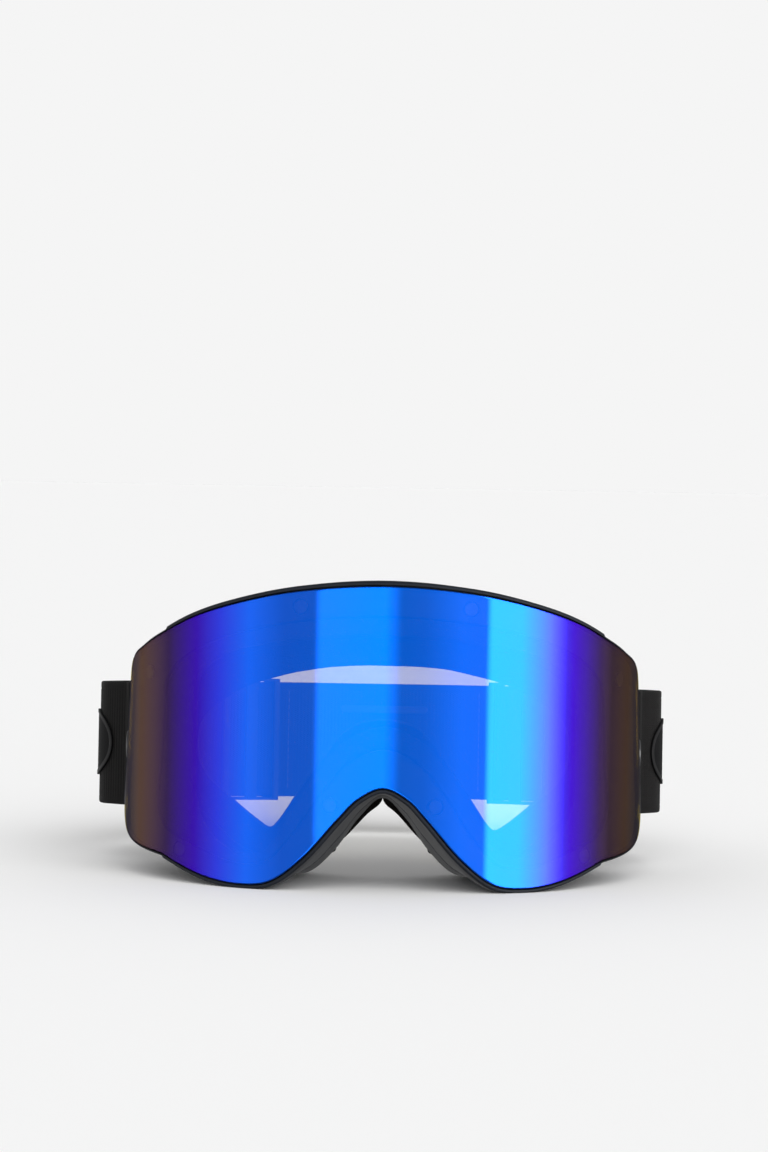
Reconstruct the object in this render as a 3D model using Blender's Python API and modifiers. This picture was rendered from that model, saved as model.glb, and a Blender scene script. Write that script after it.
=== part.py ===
"""Frameless ski goggles: magnetic double lens, moulded frame, layered face foam, swinging strap.

Axes: +X to the right as seen from the front, -Y where the wearer looks, +Z up.
The goggles stand on the two lobes of the frame, with the underside at z = 0.
"""
import math

import bmesh
import bpy
from mathutils import Matrix, Vector

MM = 0.001

# ---------------------------------------------------------------- overall layout
APEX_Y = -86.5 * MM            # foremost line of the lens
LENS_WRAP_X = 91.5 * MM        # the lens bends along this ellipse, seen from above
LENS_WRAP_Y = 62.0 * MM
FACE_DEPTH = 40.0 * MM         # from the lens's front to the frame's back, on the middle plane
FACE_RADIUS = 99.0 * MM        # curve of the frame's back around the face
STATION_SPACING = 6.0 * MM     # facet length along the outlines
BEND_SPACING = 10.0 * MM       # facet width across the bent sheets

# Outlines from the front, in millimetres: the right half, from the top of the middle plane,
# round the temple and the cheek, up to the nose. Their knots pair up, so they can be blended.
LENS_KNOTS = (
    (0, 103.2), (30, 100.9), (53, 95.6), (66, 90.8), (75.1, 85.7), (75.9, 85.15), (83.4, 79.8),
    (88.0, 73.9), (88.9, 60), (89.8, 40), (90.8, 22.5), (89.7, 14.8), (75.9, 9.2), (75.1, 8.9),
    (60, 3.0), (48, 1.45), (38, 2.9), (27, 11.2), (15, 24.8), (8.4, 31.6), (0, 35.4),
)
APERTURE_KNOTS = (
    (0, 87), (27, 85.3), (45, 82), (55, 78.9), (61, 75.6), (61.4, 75.3), (65, 71),
    (66.3, 65), (66.5, 55), (66.5, 40), (66, 29), (63, 21), (57.5, 15.2), (57, 14.9),
    (51, 12.2), (46.5, 11.8), (41, 13), (33, 23.5), (24, 38.5), (14, 50.5), (0, 56),
)
FACE_KNOTS = (
    (0, 92), (28, 90.8), (48, 86.5), (59, 81.8), (66.5, 76.5), (67.1, 76), (72.5, 70.5),
    (76.5, 64), (79, 54), (78.8, 38), (75.5, 24), (70.5, 15), (62.5, 8.2), (62, 7.9),
    (53, 1.6), (45, -0.15), (36, 0.2), (25.2, 1.9), (16.6, 9.6), (7.6, 21.9), (0, 28.4),
)
# The foam follows the frame's back, but for the nose, where it leaves room for the flaps.
FOAM_LOBE_KNOTS = (
    (53, 1.9), (45, 0.5), (36, 0.6), (26.5, 3.4), (20, 15.5), (10.5, 28.5), (0, 34),
)
FOAM_KNOTS = FACE_KNOTS[:-len(FOAM_LOBE_KNOTS)] + FOAM_LOBE_KNOTS
EYE_KNOTS = (
    (0, 74), (20, 73), (38, 69), (48.5, 65), (56, 60.5), (56.5, 60), (61.5, 56),
    (64.5, 52), (66, 46), (65.3, 38), (62, 32), (57, 28), (50, 22.5), (49.5, 22.1),
    (43.5, 17.8), (39.3, 15.8), (36.5, 18.5), (31, 27), (22, 40), (12, 52), (0, 55),
)

# ---------------------------------------------------------------- lens unit, depths under its front
OUTER_LENS_BACK = 1.4 * MM
CARRIER_FRONT = 1.7 * MM
CARRIER_BACK = 4.7 * MM
CARRIER_SPAN = (0.05, 0.335, 0.62)    # share of the way from the lens outline to the aperture
GASKET_BACK = 4.1 * MM
GASKET_SPAN = (0.66, 1.0)
INNER_LENS_FRONT = 4.5 * MM
INNER_LENS_BACK = 5.3 * MM

# ---------------------------------------------------------------- frame
RIM_WIDTH = 1.7 * MM           # rim seen round the lens
RIM_WIDTH_TEMPLE = 1.1 * MM    # rim past the small step at each temple
RIM_STEP_X = 75.5 * MM
RIM_FRONT = 0.4 * MM
RIM_CHAMFER = 0.5 * MM
LENS_CLEARANCE = 0.35 * MM
SEAT_FRONT = 5.0 * MM
SEAT_BACK = 7.2 * MM
SEAT_SPAN = 0.60
GUSSET_BACK = 9.0 * MM
GUSSET_INSET = 0.1 * MM
FLANGE_THICKNESS = 2.0 * MM
FLANGE_SPAN = 0.45             # share of the way from the face outline to the eye opening
WALL_SPAN = 0.14
TOP_VENT_X = (-57.5 * MM, -35.5 * MM, -12.0 * MM, 12.0 * MM, 35.5 * MM, 57.5 * MM)
TOP_VENT_SIZE = (19.0 * MM, 13.0 * MM, 22.0 * MM)
LOW_VENT_X = (-70.0 * MM, -58.0 * MM, 58.0 * MM, 70.0 * MM)
LOW_VENT_SIZE = (8.0 * MM, 12.0 * MM, 14.0 * MM)
FLOOR_CUTTER_SIZE = 0.3
VENT_FOAM_THICKNESS = 2.2 * MM
VENT_FOAM_WALL_RANGE = (0.14, 0.5, 0.86)

# ---------------------------------------------------------------- magnets
MAGNET_RADIUS = 2.5 * MM
MAGNET_CLEARANCE = 0.3 * MM
MAGNET_SPAN = 0.33
MAGNET_KNOTS = (1, 7, 12, 18)  # knots of the outlines beside which a pair of magnets sits
LENS_MAGNET_DEPTHS = (2.0 * MM, 4.4 * MM)
FRAME_MAGNET_DEPTHS = (5.35 * MM, 6.95 * MM)
POCKET_DEPTHS = (0.5 * MM, 10.5 * MM)

# ---------------------------------------------------------------- foam
PART_GAP = 0.3 * MM
FOAM_BASE_THICKNESS = 10.2 * MM
FLEECE_THICKNESS = 2.7 * MM
FLEECE_EDGE = 0.06
NOSE_FLAP_POINTS = (
    (0.3, 33.2), (5.2, 31.3), (9.8, 27.8), (14.3, 21.9), (18.8, 14.0), (17.6, 8.6),
    (16.2, 9.2), (15.4, 11.4), (11.7, 15.2), (5.2, 22.4), (0.3, 27.0),
)

# ---------------------------------------------------------------- side arms and strap hardware
PIVOT_Y = APEX_Y + 65.5 * MM   # the strap swings about the line through both posts
PIVOT_Z = 43.0 * MM
ARM_THICKNESS = 3.0 * MM
ARM_GAP = 0.9 * MM
ARM_HEIGHTS = (22.0 * MM, 66.0 * MM)
ARM_WALL_RANGE = (0.07, 0.35, 0.65, 0.93)
BOSS_RADIUS = 5.5 * MM
BOSS_X = (83.8 * MM, 87.1 * MM)
POST_RADIUS = 3.0 * MM
POST_CLEARANCE = 0.3 * MM
POST_X = (82.5 * MM, 91.0 * MM)
POST_HEAD_RADIUS = 5.0 * MM
POST_HEAD_X = 89.7 * MM
POST_CHAMFER = 0.5 * MM
CLIP_X = (87.4 * MM, 89.4 * MM)
CLIP_EYE_RADIUS = 8.0 * MM
CLIP_REAR = 13.4 * MM          # from the pivot to the clip's rear edge
CLIP_NECK = 5.5 * MM
CLIP_HALF_HEIGHT = 27.0 * MM
CLIP_CORNER = 2.0 * MM
CLIP_SLOT_Y = (7.0 * MM, 10.5 * MM)
CLIP_SLOT_HALF_HEIGHT = 23.5 * MM

# ---------------------------------------------------------------- strap
STRAP_SAG = math.radians(-3.4)
STRAP_WIDTH = 44.0 * MM
STRAP_THICKNESS = 1.6 * MM
LAYER_PITCH = 1.95 * MM        # from the outer layer's middle to the inner layer's
TAIL_END_X = 34.0 * MM
# The strap from above, in millimetres behind the lens's front: from the middle of the back,
# out round the side and forward to the clip, where it turns round the clip's bar. The right
# side is 1 and the left side is -1, which bows out a little more.
STRAP_BACK_KNOTS = (
    (0, 171), (8, 171), (16, 171), (24, 170.3), (32, 168.2), (52, 161.6), (72, 155),
)
STRAP_SIDE_KNOTS = {
    1: ((83, 147.6), (91.4, 136), (97, 122), (99.7, 108.5), (100.3, 97), (98.9, 87.8),
        (95.2, 81.9), (91.9, 77.7)),
    -1: ((83.4, 147.9), (92.8, 136.6), (99.1, 122.4), (102.1, 108.5), (102.6, 97),
         (100.6, 87.6), (95.8, 81.6), (91.9, 77.7)),
}
BAR_TURN_KNOTS = ((90.9, 75.4), (88.4, 74.1), (86.0, 75.2), (85.3, 77.8), (86.9, 81.4),
                  (91.4, 85.6))
STRAP_SAMPLES = 2
SLIDER_X = 52.0 * MM
SLIDER_LENGTH = 22.0 * MM
SLIDER_HEIGHT = 46.6 * MM
SLIDER_TUNNEL = (4.4 * MM, 44.6 * MM)
SLIDER_WALLS = (1.4 * MM, 1.6 * MM)   # inner and outer
SLIDER_BAR = 4.5 * MM
SLIDER_BEVEL = 0.4 * MM
GRIP_LENGTH = 34.0 * MM
GRIP_SIZE = (0.6 * MM, 3.0 * MM)
GRIP_HEIGHTS = (-12.0 * MM, 0.0, 12.0 * MM)
BADGE_RADII = (15.0 * MM, 12.0 * MM)
BADGE_THICKNESS = 0.8 * MM
BADGE_CENTRE_Y = APEX_Y + 96.0 * MM
ROUND_STEPS = 16
CUT_MARGIN = 2.0 * MM


# ================================================================ scene helpers
def clear_scene():
    for obj in list(bpy.data.objects):
        bpy.data.objects.remove(obj, do_unlink=True)


def new_collection(name):
    collection = bpy.data.collections.new(name)
    bpy.context.scene.collection.children.link(collection)
    return collection


def new_material(name, colour, roughness, metallic=0.0):
    material = bpy.data.materials.new(name)
    material.use_nodes = True
    shader = material.node_tree.nodes["Principled BSDF"]
    shader.inputs["Base Color"].default_value = (*colour, 1.0)
    shader.inputs["Roughness"].default_value = roughness
    shader.inputs["Metallic"].default_value = metallic
    return material


def add_mesh_object(name, bm, material, parent=None):
    """A new part from a bmesh, its faces turned outwards and its soft edges shaded smooth."""
    bmesh.ops.recalc_face_normals(bm, faces=bm.faces)
    mesh = bpy.data.meshes.new(name)
    bm.to_mesh(mesh)
    bm.free()
    mesh.shade_smooth()
    mesh.set_sharp_from_angle(angle=math.radians(30))
    obj = bpy.data.objects.new(name, mesh)
    PARTS.objects.link(obj)
    mesh.materials.append(material)
    obj.parent = parent
    return obj


def as_cutter(obj):
    """Moves an object from the parts to the cutters."""
    PARTS.objects.unlink(obj)
    CUTTERS.objects.link(obj)
    obj.hide_render = True
    obj.display_type = "WIRE"
    return obj


def cut(obj, cutter, operation="DIFFERENCE"):
    modifier = obj.modifiers.new(operation.title() + " " + cutter.name, "BOOLEAN")
    modifier.operation = operation
    modifier.object = cutter


def box_object(name, size, material, parent=None, matrix=None):
    bm = bmesh.new()
    bmesh.ops.create_cube(bm, size=1.0)
    bmesh.ops.scale(bm, vec=size, verts=bm.verts)
    obj = add_mesh_object(name, bm, material, parent)
    if matrix is not None:
        obj.matrix_local = matrix
    return obj


def rod_object(name, radius, start, end, material, parent=None):
    """A round rod with flat ends from one point to another."""
    bm = bmesh.new()
    bmesh.ops.create_cone(bm, cap_ends=True, segments=ROUND_STEPS, radius1=radius,
                          radius2=radius, depth=(end - start).length)
    obj = add_mesh_object(name, bm, material, parent)
    obj.location = (start + end) / 2
    obj.rotation_mode = "QUATERNION"
    obj.rotation_quaternion = (end - start).to_track_quat("Z", "Y")
    return obj


# ================================================================ curves in the plane
def smooth_span(before, start, end, after, steps):
    """Points of a centripetal Catmull-Rom span, from start up to but not including end."""
    t_start = (start - before).length ** 0.5
    t_end = t_start + (end - start).length ** 0.5
    t_after = t_end + (after - end).length ** 0.5
    points = []
    for i in range(steps):
        t = t_start + (t_end - t_start) * i / steps
        a = before.lerp(start, t / t_start)
        b = start.lerp(end, (t - t_start) / (t_end - t_start))
        c = end.lerp(after, (t - t_end) / (t_after - t_end))
        d = a.lerp(b, t / t_end)
        e = b.lerp(c, (t - t_start) / (t_after - t_start))
        points.append(d.lerp(e, (t - t_start) / (t_end - t_start)))
    return points


def mirrored_loop(half):
    """A closed loop of knots from its right half, whose first and last knots are on the middle."""
    left = [Vector((-knot.x, knot.y)) for knot in reversed(half[1:-1])]
    return list(half) + left


def smooth_loop(knots, steps):
    points = []
    for i in range(len(knots)):
        after = knots[(i + 2) % len(knots)]
        points += smooth_span(knots[i - 1], knots[i], knots[(i + 1) % len(knots)], after, steps[i])
    return points


def blended(loop, other, share):
    return [a.lerp(b, share) for a, b in zip(loop, other)]


def side_normals(points, closed):
    """A unit vector at each point, to the left of the way the points run."""
    normals = []
    last = len(points) - 1
    for i in range(len(points)):
        ahead = points[(i + 1) % len(points)] if closed else points[min(i + 1, last)]
        behind = points[i - 1] if closed else points[max(i - 1, 0)]
        along = (ahead - behind).normalized()
        normals.append(Vector((-along.y, along.x)))
    return normals


def widened(loop, amounts):
    return [p + n * a for p, n, a in zip(loop, side_normals(loop, True), amounts)]


def rounded_rectangle(x_range, y_range, radius, steps=4):
    """Corner arcs of a rectangle, as one closed loop."""
    points = []
    corners = ((x_range[1], y_range[1], 0), (x_range[0], y_range[1], 1),
               (x_range[0], y_range[0], 2), (x_range[1], y_range[0], 3))
    for x, y, quarter in corners:
        centre = Vector((x - math.copysign(radius, x - sum(x_range) / 2),
                         y - math.copysign(radius, y - sum(y_range) / 2)))
        for i in range(steps + 1):
            angle = (quarter + i / steps) * math.pi / 2
            points.append(centre + radius * Vector((math.cos(angle), math.sin(angle))))
    return points


def circle(centre, radius_x, radius_y, steps):
    turn = 2 * math.pi / steps
    return [centre + Vector((radius_x * math.cos(i * turn), radius_y * math.sin(i * turn)))
            for i in range(steps)]


# ================================================================ sheets and lofts
def plate_bmesh(loops, near, far, cut_lines=()):
    """A flat plate in x and y, near to far in z; the first loop bounds it, the others are holes."""
    curve = bpy.data.curves.new("plate", "CURVE")
    curve.dimensions = "2D"
    curve.fill_mode = "BOTH"
    curve.extrude = abs(far - near) / 2
    for loop in loops:
        spline = curve.splines.new("POLY")
        spline.points.add(len(loop) - 1)
        spline.use_cyclic_u = True
        for point, place in zip(spline.points, loop):
            point.co = (place.x, place.y, 0, 1)
    holder = bpy.data.objects.new("plate", curve)
    CUTTERS.objects.link(holder)
    evaluated = holder.evaluated_get(bpy.context.evaluated_depsgraph_get())
    mesh = bpy.data.meshes.new_from_object(evaluated)
    bpy.data.objects.remove(holder)
    bm = bmesh.new()
    bm.from_mesh(mesh)
    bpy.data.meshes.remove(mesh)
    bmesh.ops.remove_doubles(bm, verts=bm.verts, dist=0.01 * MM)
    bmesh.ops.translate(bm, verts=bm.verts, vec=(0, 0, (near + far) / 2))
    for x in cut_lines:
        geometry = bm.verts[:] + bm.edges[:] + bm.faces[:]
        bmesh.ops.bisect_plane(bm, geom=geometry, dist=0.02 * MM, plane_co=(x, 0, 0),
                               plane_no=(1, 0, 0))
    return bm


def placed_plate(name, loops, near, far, place, material, cut_lines=(), parent=None):
    """A plate whose every vertex (x, y, z) is moved to place(x, y, z)."""
    bm = plate_bmesh(loops, near, far, cut_lines)
    for vertex in bm.verts:
        vertex.co = place(*vertex.co)
    bmesh.ops.triangulate(bm, faces=bm.faces)
    return add_mesh_object(name, bm, material, parent)


def ring_loft(name, rings, material):
    """A closed tube through matching closed rings; the last ring joins the first."""
    bm = bmesh.new()
    rows = [[bm.verts.new(point) for point in ring] for ring in rings]
    for row, following in zip(rows, rows[1:] + rows[:1]):
        for i in range(len(row)):
            bm.faces.new((row[i - 1], row[i], following[i], following[i - 1]))
    bmesh.ops.triangulate(bm, faces=bm.faces)
    return add_mesh_object(name, bm, material)


def raised_patch(name, rows, gap, thickness, material):
    """A sheet through rows of points, lifted off them by a gap and thickened away from them."""
    bm = bmesh.new()
    grid = [[bm.verts.new(point) for point in row] for row in rows]
    for row, following in zip(grid, grid[1:]):
        for i in range(len(row) - 1):
            bm.faces.new((row[i], row[i + 1], following[i + 1], following[i]))
    bm.normal_update()
    normals = [vertex.normal.copy() for vertex in bm.verts]
    top = []
    for vertex, normal in zip(bm.verts[:], normals):
        top.append(bm.verts.new(vertex.co + normal * (gap + thickness)))
        vertex.co += normal * gap
    close_sheet(bm, top)
    bmesh.ops.triangulate(bm, faces=bm.faces)
    return add_mesh_object(name, bm, material)


def close_sheet(bm, top):
    """Closes an open sheet with a copy of it on the vertices in top, and walls round its rim."""
    bm.verts.index_update()
    sheet = bm.faces[:]
    rim = [edge for edge in bm.edges if edge.is_boundary]
    for face in sheet:
        bm.faces.new([top[vertex.index] for vertex in face.verts])
    for edge in rim:
        a, b = edge.verts
        bm.faces.new((a, b, top[b.index], top[a.index]))


# ================================================================ outlines shared by the parts
def on_lens(u, z, depth):
    """The point u round the lens from the middle plane, at height z, depth under its front."""
    turn = u / LENS_WRAP_X
    return Vector(((LENS_WRAP_X - depth) * math.sin(turn),
                   APEX_Y + depth + (LENS_WRAP_Y - depth) * (1 - math.cos(turn)), z))


def unrolled(x):
    return LENS_WRAP_X * math.asin(x / LENS_WRAP_X)


def lens_normal(u):
    """Out of the lens's front, at u round it."""
    turn = u / LENS_WRAP_X
    return Vector((LENS_WRAP_Y * math.sin(turn), -LENS_WRAP_X * math.cos(turn), 0)).normalized()


def face_y(x):
    """Where the frame's back lies, at x."""
    return APEX_Y + FACE_DEPTH + FACE_RADIUS - math.sqrt(FACE_RADIUS ** 2 - x ** 2)


def unrolled_knots(knots):
    return mirrored_loop([Vector((unrolled(x * MM), z * MM)) for x, z in knots])


def front_knots(knots):
    return mirrored_loop([Vector((x * MM, z * MM)) for x, z in knots])


def span_steps(knots):
    """How many facets each span between knots gets."""
    steps = []
    for i in range(len(knots)):
        length = (knots[(i + 1) % len(knots)] - knots[i]).length
        steps.append(max(1, round(length / STATION_SPACING)))
    return steps


class Outlines:
    """The smooth outlines, with matching points; lens and aperture lie round the lens."""

    def __init__(self):
        lens_knots = unrolled_knots(LENS_KNOTS)
        steps = span_steps(lens_knots)
        self.knot_places = [sum(steps[:i]) for i in range(len(steps))]
        self.lens = smooth_loop(lens_knots, steps)
        self.aperture = smooth_loop(unrolled_knots(APERTURE_KNOTS), steps)
        self.face = smooth_loop(front_knots(FACE_KNOTS), steps)
        self.foam = smooth_loop(front_knots(FOAM_KNOTS), steps)
        self.eye = smooth_loop(front_knots(EYE_KNOTS), steps)

    def lens_ring(self, share):
        return blended(self.lens, self.aperture, share)

    def face_ring(self, share):
        return blended(self.face, self.eye, share)


def on_lens_loop(loop, depth):
    return [on_lens(point.x, point.y, depth) for point in loop]


def on_face_loop(loop, offset):
    """Points on the frame's back, moved backwards by an offset."""
    return [Vector((point.x, face_y(point.x) + offset, point.y)) for point in loop]


# ================================================================ frame
def frame_rings(lines):
    """The frame's section, corner by corner, each corner as a ring round the goggles."""
    count = len(lines.lens)
    rim_widths = [RIM_WIDTH if abs(point.x) < unrolled(RIM_STEP_X) else RIM_WIDTH_TEMPLE
                  for point in lines.lens]
    rim = widened(lines.lens, rim_widths)
    chamfer = widened(lines.lens, [width - RIM_CHAMFER for width in rim_widths])
    seat_edge = widened(lines.lens, [LENS_CLEARANCE] * count)
    gusset = widened(lines.lens, [-GUSSET_INSET] * count)
    return {
        "seat_front_inner": on_lens_loop(lines.lens_ring(SEAT_SPAN), SEAT_FRONT),
        "seat_front_outer": on_lens_loop(seat_edge, SEAT_FRONT),
        "rim_inner": on_lens_loop(seat_edge, RIM_FRONT),
        "rim_chamfer": on_lens_loop(chamfer, RIM_FRONT),
        "rim_outer": on_lens_loop(rim, RIM_FRONT + RIM_CHAMFER),
        "wall_front": on_lens_loop(rim, SEAT_BACK),
        "wall_back": on_face_loop(lines.face, -FLANGE_THICKNESS),
        "flange_outer": on_face_loop(lines.face, 0),
        "flange_back_inner": on_face_loop(lines.face_ring(FLANGE_SPAN), 0),
        "flange_front_inner": on_face_loop(lines.face_ring(FLANGE_SPAN), -FLANGE_THICKNESS),
        "wall_back_inner": on_face_loop(lines.face_ring(WALL_SPAN), -FLANGE_THICKNESS),
        "wall_front_inner": on_lens_loop(gusset, GUSSET_BACK),
        "seat_back_inner": on_lens_loop(lines.lens_ring(SEAT_SPAN), SEAT_BACK),
    }


def nearest_station(ring, x, upper):
    """Index of the ring's point nearest to x, on its upper or its lower half."""
    middle = PIVOT_Z
    candidates = [i for i, point in enumerate(ring) if (point.z > middle) == upper]
    return min(candidates, key=lambda i: abs(ring[i].x - x))


def vent_cutters(rings, positions, size, upper):
    cutters = []
    for x in positions:
        i = nearest_station(rings["wall_front"], x, upper)
        centre = (rings["wall_front"][i] + rings["wall_back"][i]) / 2
        name = "vent_cutter_%s_%d" % ("top" if upper else "low", len(cutters) + 1)
        box = box_object(name, size, MATERIALS["frame"],
                         matrix=Matrix.Translation((x, centre.y, centre.z)))
        cutters.append(as_cutter(box))
    return cutters


def build_frame(lines, rings, magnet_places):
    frame = ring_loft("frame", list(rings.values()), MATERIALS["frame"])
    cutters = vent_cutters(rings, TOP_VENT_X, TOP_VENT_SIZE, True)
    cutters += vent_cutters(rings, LOW_VENT_X, LOW_VENT_SIZE, False)
    cutters += pocket_cutters(magnet_places)
    size = (FLOOR_CUTTER_SIZE,) * 3
    floor = box_object("floor_cutter", size, MATERIALS["frame"],
                       matrix=Matrix.Translation((0, 0, -FLOOR_CUTTER_SIZE / 2)))
    cutters.append(as_cutter(floor))
    for cutter in cutters:
        cut(frame, cutter)


def wall_rows(front, back, stations, shares):
    return [[front[i].lerp(back[i], share) for i in stations] for share in shares]


def stations_between(ring, x_range, upper):
    """Indices of the ring's points with x in a range, on one half, in the ring's own order."""
    count = len(ring)
    inside = [(ring[i].z > PIVOT_Z) == upper and x_range[0] <= ring[i].x <= x_range[1]
              for i in range(count)]
    start = next(i for i in range(count) if inside[i] and not inside[i - 1])
    stations = []
    while inside[start % count]:
        stations.append(start % count)
        start += 1
    return stations


def build_vent_foam(rings):
    """Strips of open foam behind the vents, against the inside of the frame's wall."""
    front = rings["wall_front_inner"]
    back = rings["wall_back_inner"]
    pieces = (("vent_foam_top", (-72 * MM, 72 * MM), True),
              ("vent_foam_left", (-78 * MM, -50 * MM), False),
              ("vent_foam_right", (50 * MM, 78 * MM), False))
    for name, x_range, upper in pieces:
        stations = stations_between(front, x_range, upper)
        rows = wall_rows(front, back, stations[::-1], VENT_FOAM_WALL_RANGE)
        raised_patch(name, rows, PART_GAP, VENT_FOAM_THICKNESS, MATERIALS["vent_foam"])


# ================================================================ magnets
def magnet_positions(lines):
    """Where the pairs of magnets sit round the lens, as (u, z), right side then left side."""
    ring = lines.lens_ring(MAGNET_SPAN)
    right = [ring[lines.knot_places[knot]] for knot in MAGNET_KNOTS]
    return right + [Vector((-place.x, place.y)) for place in right]


def magnet_rod(name, place, depths, radius, material):
    surface = on_lens(place.x, place.y, 0)
    inwards = -lens_normal(place.x)
    return rod_object(name, radius, surface + inwards * depths[0], surface + inwards * depths[1],
                      material)


def pocket_cutters(places):
    radius = MAGNET_RADIUS + MAGNET_CLEARANCE
    return [as_cutter(magnet_rod("magnet_pocket_cutter_%d" % (i + 1), place, POCKET_DEPTHS,
                                 radius, MATERIALS["magnet"]))
            for i, place in enumerate(places)]


def build_magnets(places):
    for i, place in enumerate(places):
        for owner, depths in (("lens", LENS_MAGNET_DEPTHS), ("frame", FRAME_MAGNET_DEPTHS)):
            magnet_rod("%s_magnet_%d" % (owner, i + 1), place, depths, MAGNET_RADIUS,
                       MATERIALS["magnet"])


# ================================================================ lens unit
def bend_lines():
    """Where the flat sheets are creased so that they can follow the lens's curve."""
    count = int(math.pi / 2 * LENS_WRAP_X / BEND_SPACING)
    return [i * BEND_SPACING for i in range(-count, count + 1)]


def lens_ring_plate(name, lines, shares, depths, material):
    """A ring behind the lens, through the given shares of the way to the aperture."""
    front = [on_lens_loop(lines.lens_ring(share), depths[0]) for share in shares]
    back = [on_lens_loop(lines.lens_ring(share), depths[1]) for share in reversed(shares)]
    return ring_loft(name, front + back, material)


def build_lens_unit(lines, magnet_places):
    lens_edge = lines.lens
    inner_edge = lines.lens_ring(GASKET_SPAN[0])
    creases = bend_lines()
    placed_plate("outer_lens", [lens_edge], 0, OUTER_LENS_BACK, on_lens,
                 MATERIALS["mirror_lens"], creases)
    placed_plate("inner_lens", [inner_edge], INNER_LENS_FRONT, INNER_LENS_BACK, on_lens,
                 MATERIALS["clear_lens"], creases)
    lens_ring_plate("lens_gasket", lines, GASKET_SPAN, (CARRIER_FRONT, GASKET_BACK),
                    MATERIALS["gasket"])
    ring = lens_ring_plate("lens_carrier", lines, CARRIER_SPAN, (CARRIER_FRONT, CARRIER_BACK),
                           MATERIALS["carrier"])
    for i in range(len(magnet_places)):
        cut(ring, bpy.data.objects["magnet_pocket_cutter_%d" % (i + 1)])


# ================================================================ foam
def foam_ring(name, lines, start, end, edge, material):
    """A ring of foam round the eye opening, from start to end behind the frame."""
    outer = blended(lines.foam, lines.eye, edge)
    inner = blended(lines.eye, lines.foam, edge)
    rings = [on_face_loop(lines.foam, start), on_face_loop(outer, end),
             on_face_loop(inner, end), on_face_loop(lines.eye, start)]
    ring_loft(name, rings, material)


def build_foam(lines):
    base_start = PART_GAP
    base_end = base_start + FOAM_BASE_THICKNESS
    fleece_start = base_end + PART_GAP
    foam_ring("foam_base", lines, base_start, base_end, 0.0, MATERIALS["foam"])
    foam_ring("foam_fleece", lines, fleece_start, fleece_start + FLEECE_THICKNESS, FLEECE_EDGE,
              MATERIALS["fleece"])


def build_nose_flaps():
    for name, side in (("nose_flap_right", 1), ("nose_flap_left", -1)):
        outline = [Vector((side * x * MM, z * MM)) for x, z in NOSE_FLAP_POINTS]
        placed_plate(name, [outline], PART_GAP, PART_GAP + FOAM_BASE_THICKNESS,
                     lambda x, z, depth: Vector((x, face_y(x) + depth, z)), MATERIALS["foam"])


# ================================================================ side arms and posts
def side_stations(ring, side):
    """Indices of the ring's points at one temple, between the arm's ends."""
    return [i for i, point in enumerate(ring)
            if point.x * side > RIM_STEP_X and ARM_HEIGHTS[0] <= point.z <= ARM_HEIGHTS[1]]


def build_side_arm(name, rings, side):
    front = rings["wall_front"]
    stations = side_stations(front, side)
    rows = wall_rows(front, rings["wall_back"], stations, ARM_WALL_RANGE)
    arm = raised_patch(name, rows, ARM_GAP, ARM_THICKNESS, MATERIALS["arm"])
    axis_start = Vector((side * BOSS_X[0], PIVOT_Y, PIVOT_Z))
    axis_end = Vector((side * BOSS_X[1], PIVOT_Y, PIVOT_Z))
    margin = Vector((side * 2 * CUT_MARGIN, 0, 0))
    boss = rod_object(name + "_boss_cutter", BOSS_RADIUS, axis_start, axis_end, MATERIALS["arm"])
    hole = rod_object(name + "_hole_cutter", POST_RADIUS + POST_CLEARANCE,
                      axis_start - margin, axis_end + margin, MATERIALS["arm"])
    cut(arm, as_cutter(boss), "UNION")
    cut(arm, as_cutter(hole))


def build_post(name, side):
    """A shouldered rivet that holds the clip to the arm: a turned profile about the pivot line."""
    inner, outer = POST_X
    profile = ((0, outer), (POST_HEAD_RADIUS - POST_CHAMFER, outer),
               (POST_HEAD_RADIUS, outer - POST_CHAMFER), (POST_HEAD_RADIUS, POST_HEAD_X),
               (POST_RADIUS, POST_HEAD_X), (POST_RADIUS, inner), (0, inner))
    bm = bmesh.new()
    vertices = [bm.verts.new((radius, 0, height)) for radius, height in profile]
    for a, b in zip(vertices, vertices[1:]):
        bm.edges.new((a, b))
    post = add_mesh_object(name, bm, MATERIALS["post"])
    post.location = (0, PIVOT_Y, PIVOT_Z)
    post.rotation_euler = (0, side * math.pi / 2, 0)
    screw = post.modifiers.new("Turn", "SCREW")
    screw.steps = ROUND_STEPS
    screw.render_steps = ROUND_STEPS
    screw.use_merge_vertices = True
    screw.merge_threshold = 0.00001


# ================================================================ strap
def strap_point(x, y):
    """A point of the strap's plan, in the strap's own frame at the pivot line."""
    return Vector((x * MM, APEX_Y + y * MM - PIVOT_Y))


def outer_half_path(side):
    """The outer layer's middle line on one side, from the middle of the back to the clip."""
    places = STRAP_BACK_KNOTS + STRAP_SIDE_KNOTS[side] + BAR_TURN_KNOTS[:1]
    knots = [strap_point(x, y) for x, y in places]
    knots.insert(0, strap_point(-STRAP_BACK_KNOTS[1][0], STRAP_BACK_KNOTS[1][1]))
    points = []
    for i in range(1, len(knots) - 2):
        points += smooth_span(*knots[i - 1:i + 3], STRAP_SAMPLES)
    return points


def turned_in_half_path(outer, side):
    """The rest of that half: round the clip's bar and back along the inside."""
    inner = [point - normal * LAYER_PITCH
             for point, normal in zip(outer, side_normals(outer, False))]
    bar_end = strap_point(*BAR_TURN_KNOTS[-1])
    inner = [point for point in inner if point.x > TAIL_END_X and point.y > bar_end.y + 3 * MM]
    inner.reverse()
    knots = [strap_point(x, y) for x, y in STRAP_SIDE_KNOTS[side][-2:] + BAR_TURN_KNOTS]
    knots += inner[:2]
    points = []
    for i in range(1, len(knots) - 2):
        points += smooth_span(*knots[i - 1:i + 3], STRAP_SAMPLES)
    return points + inner


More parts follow.
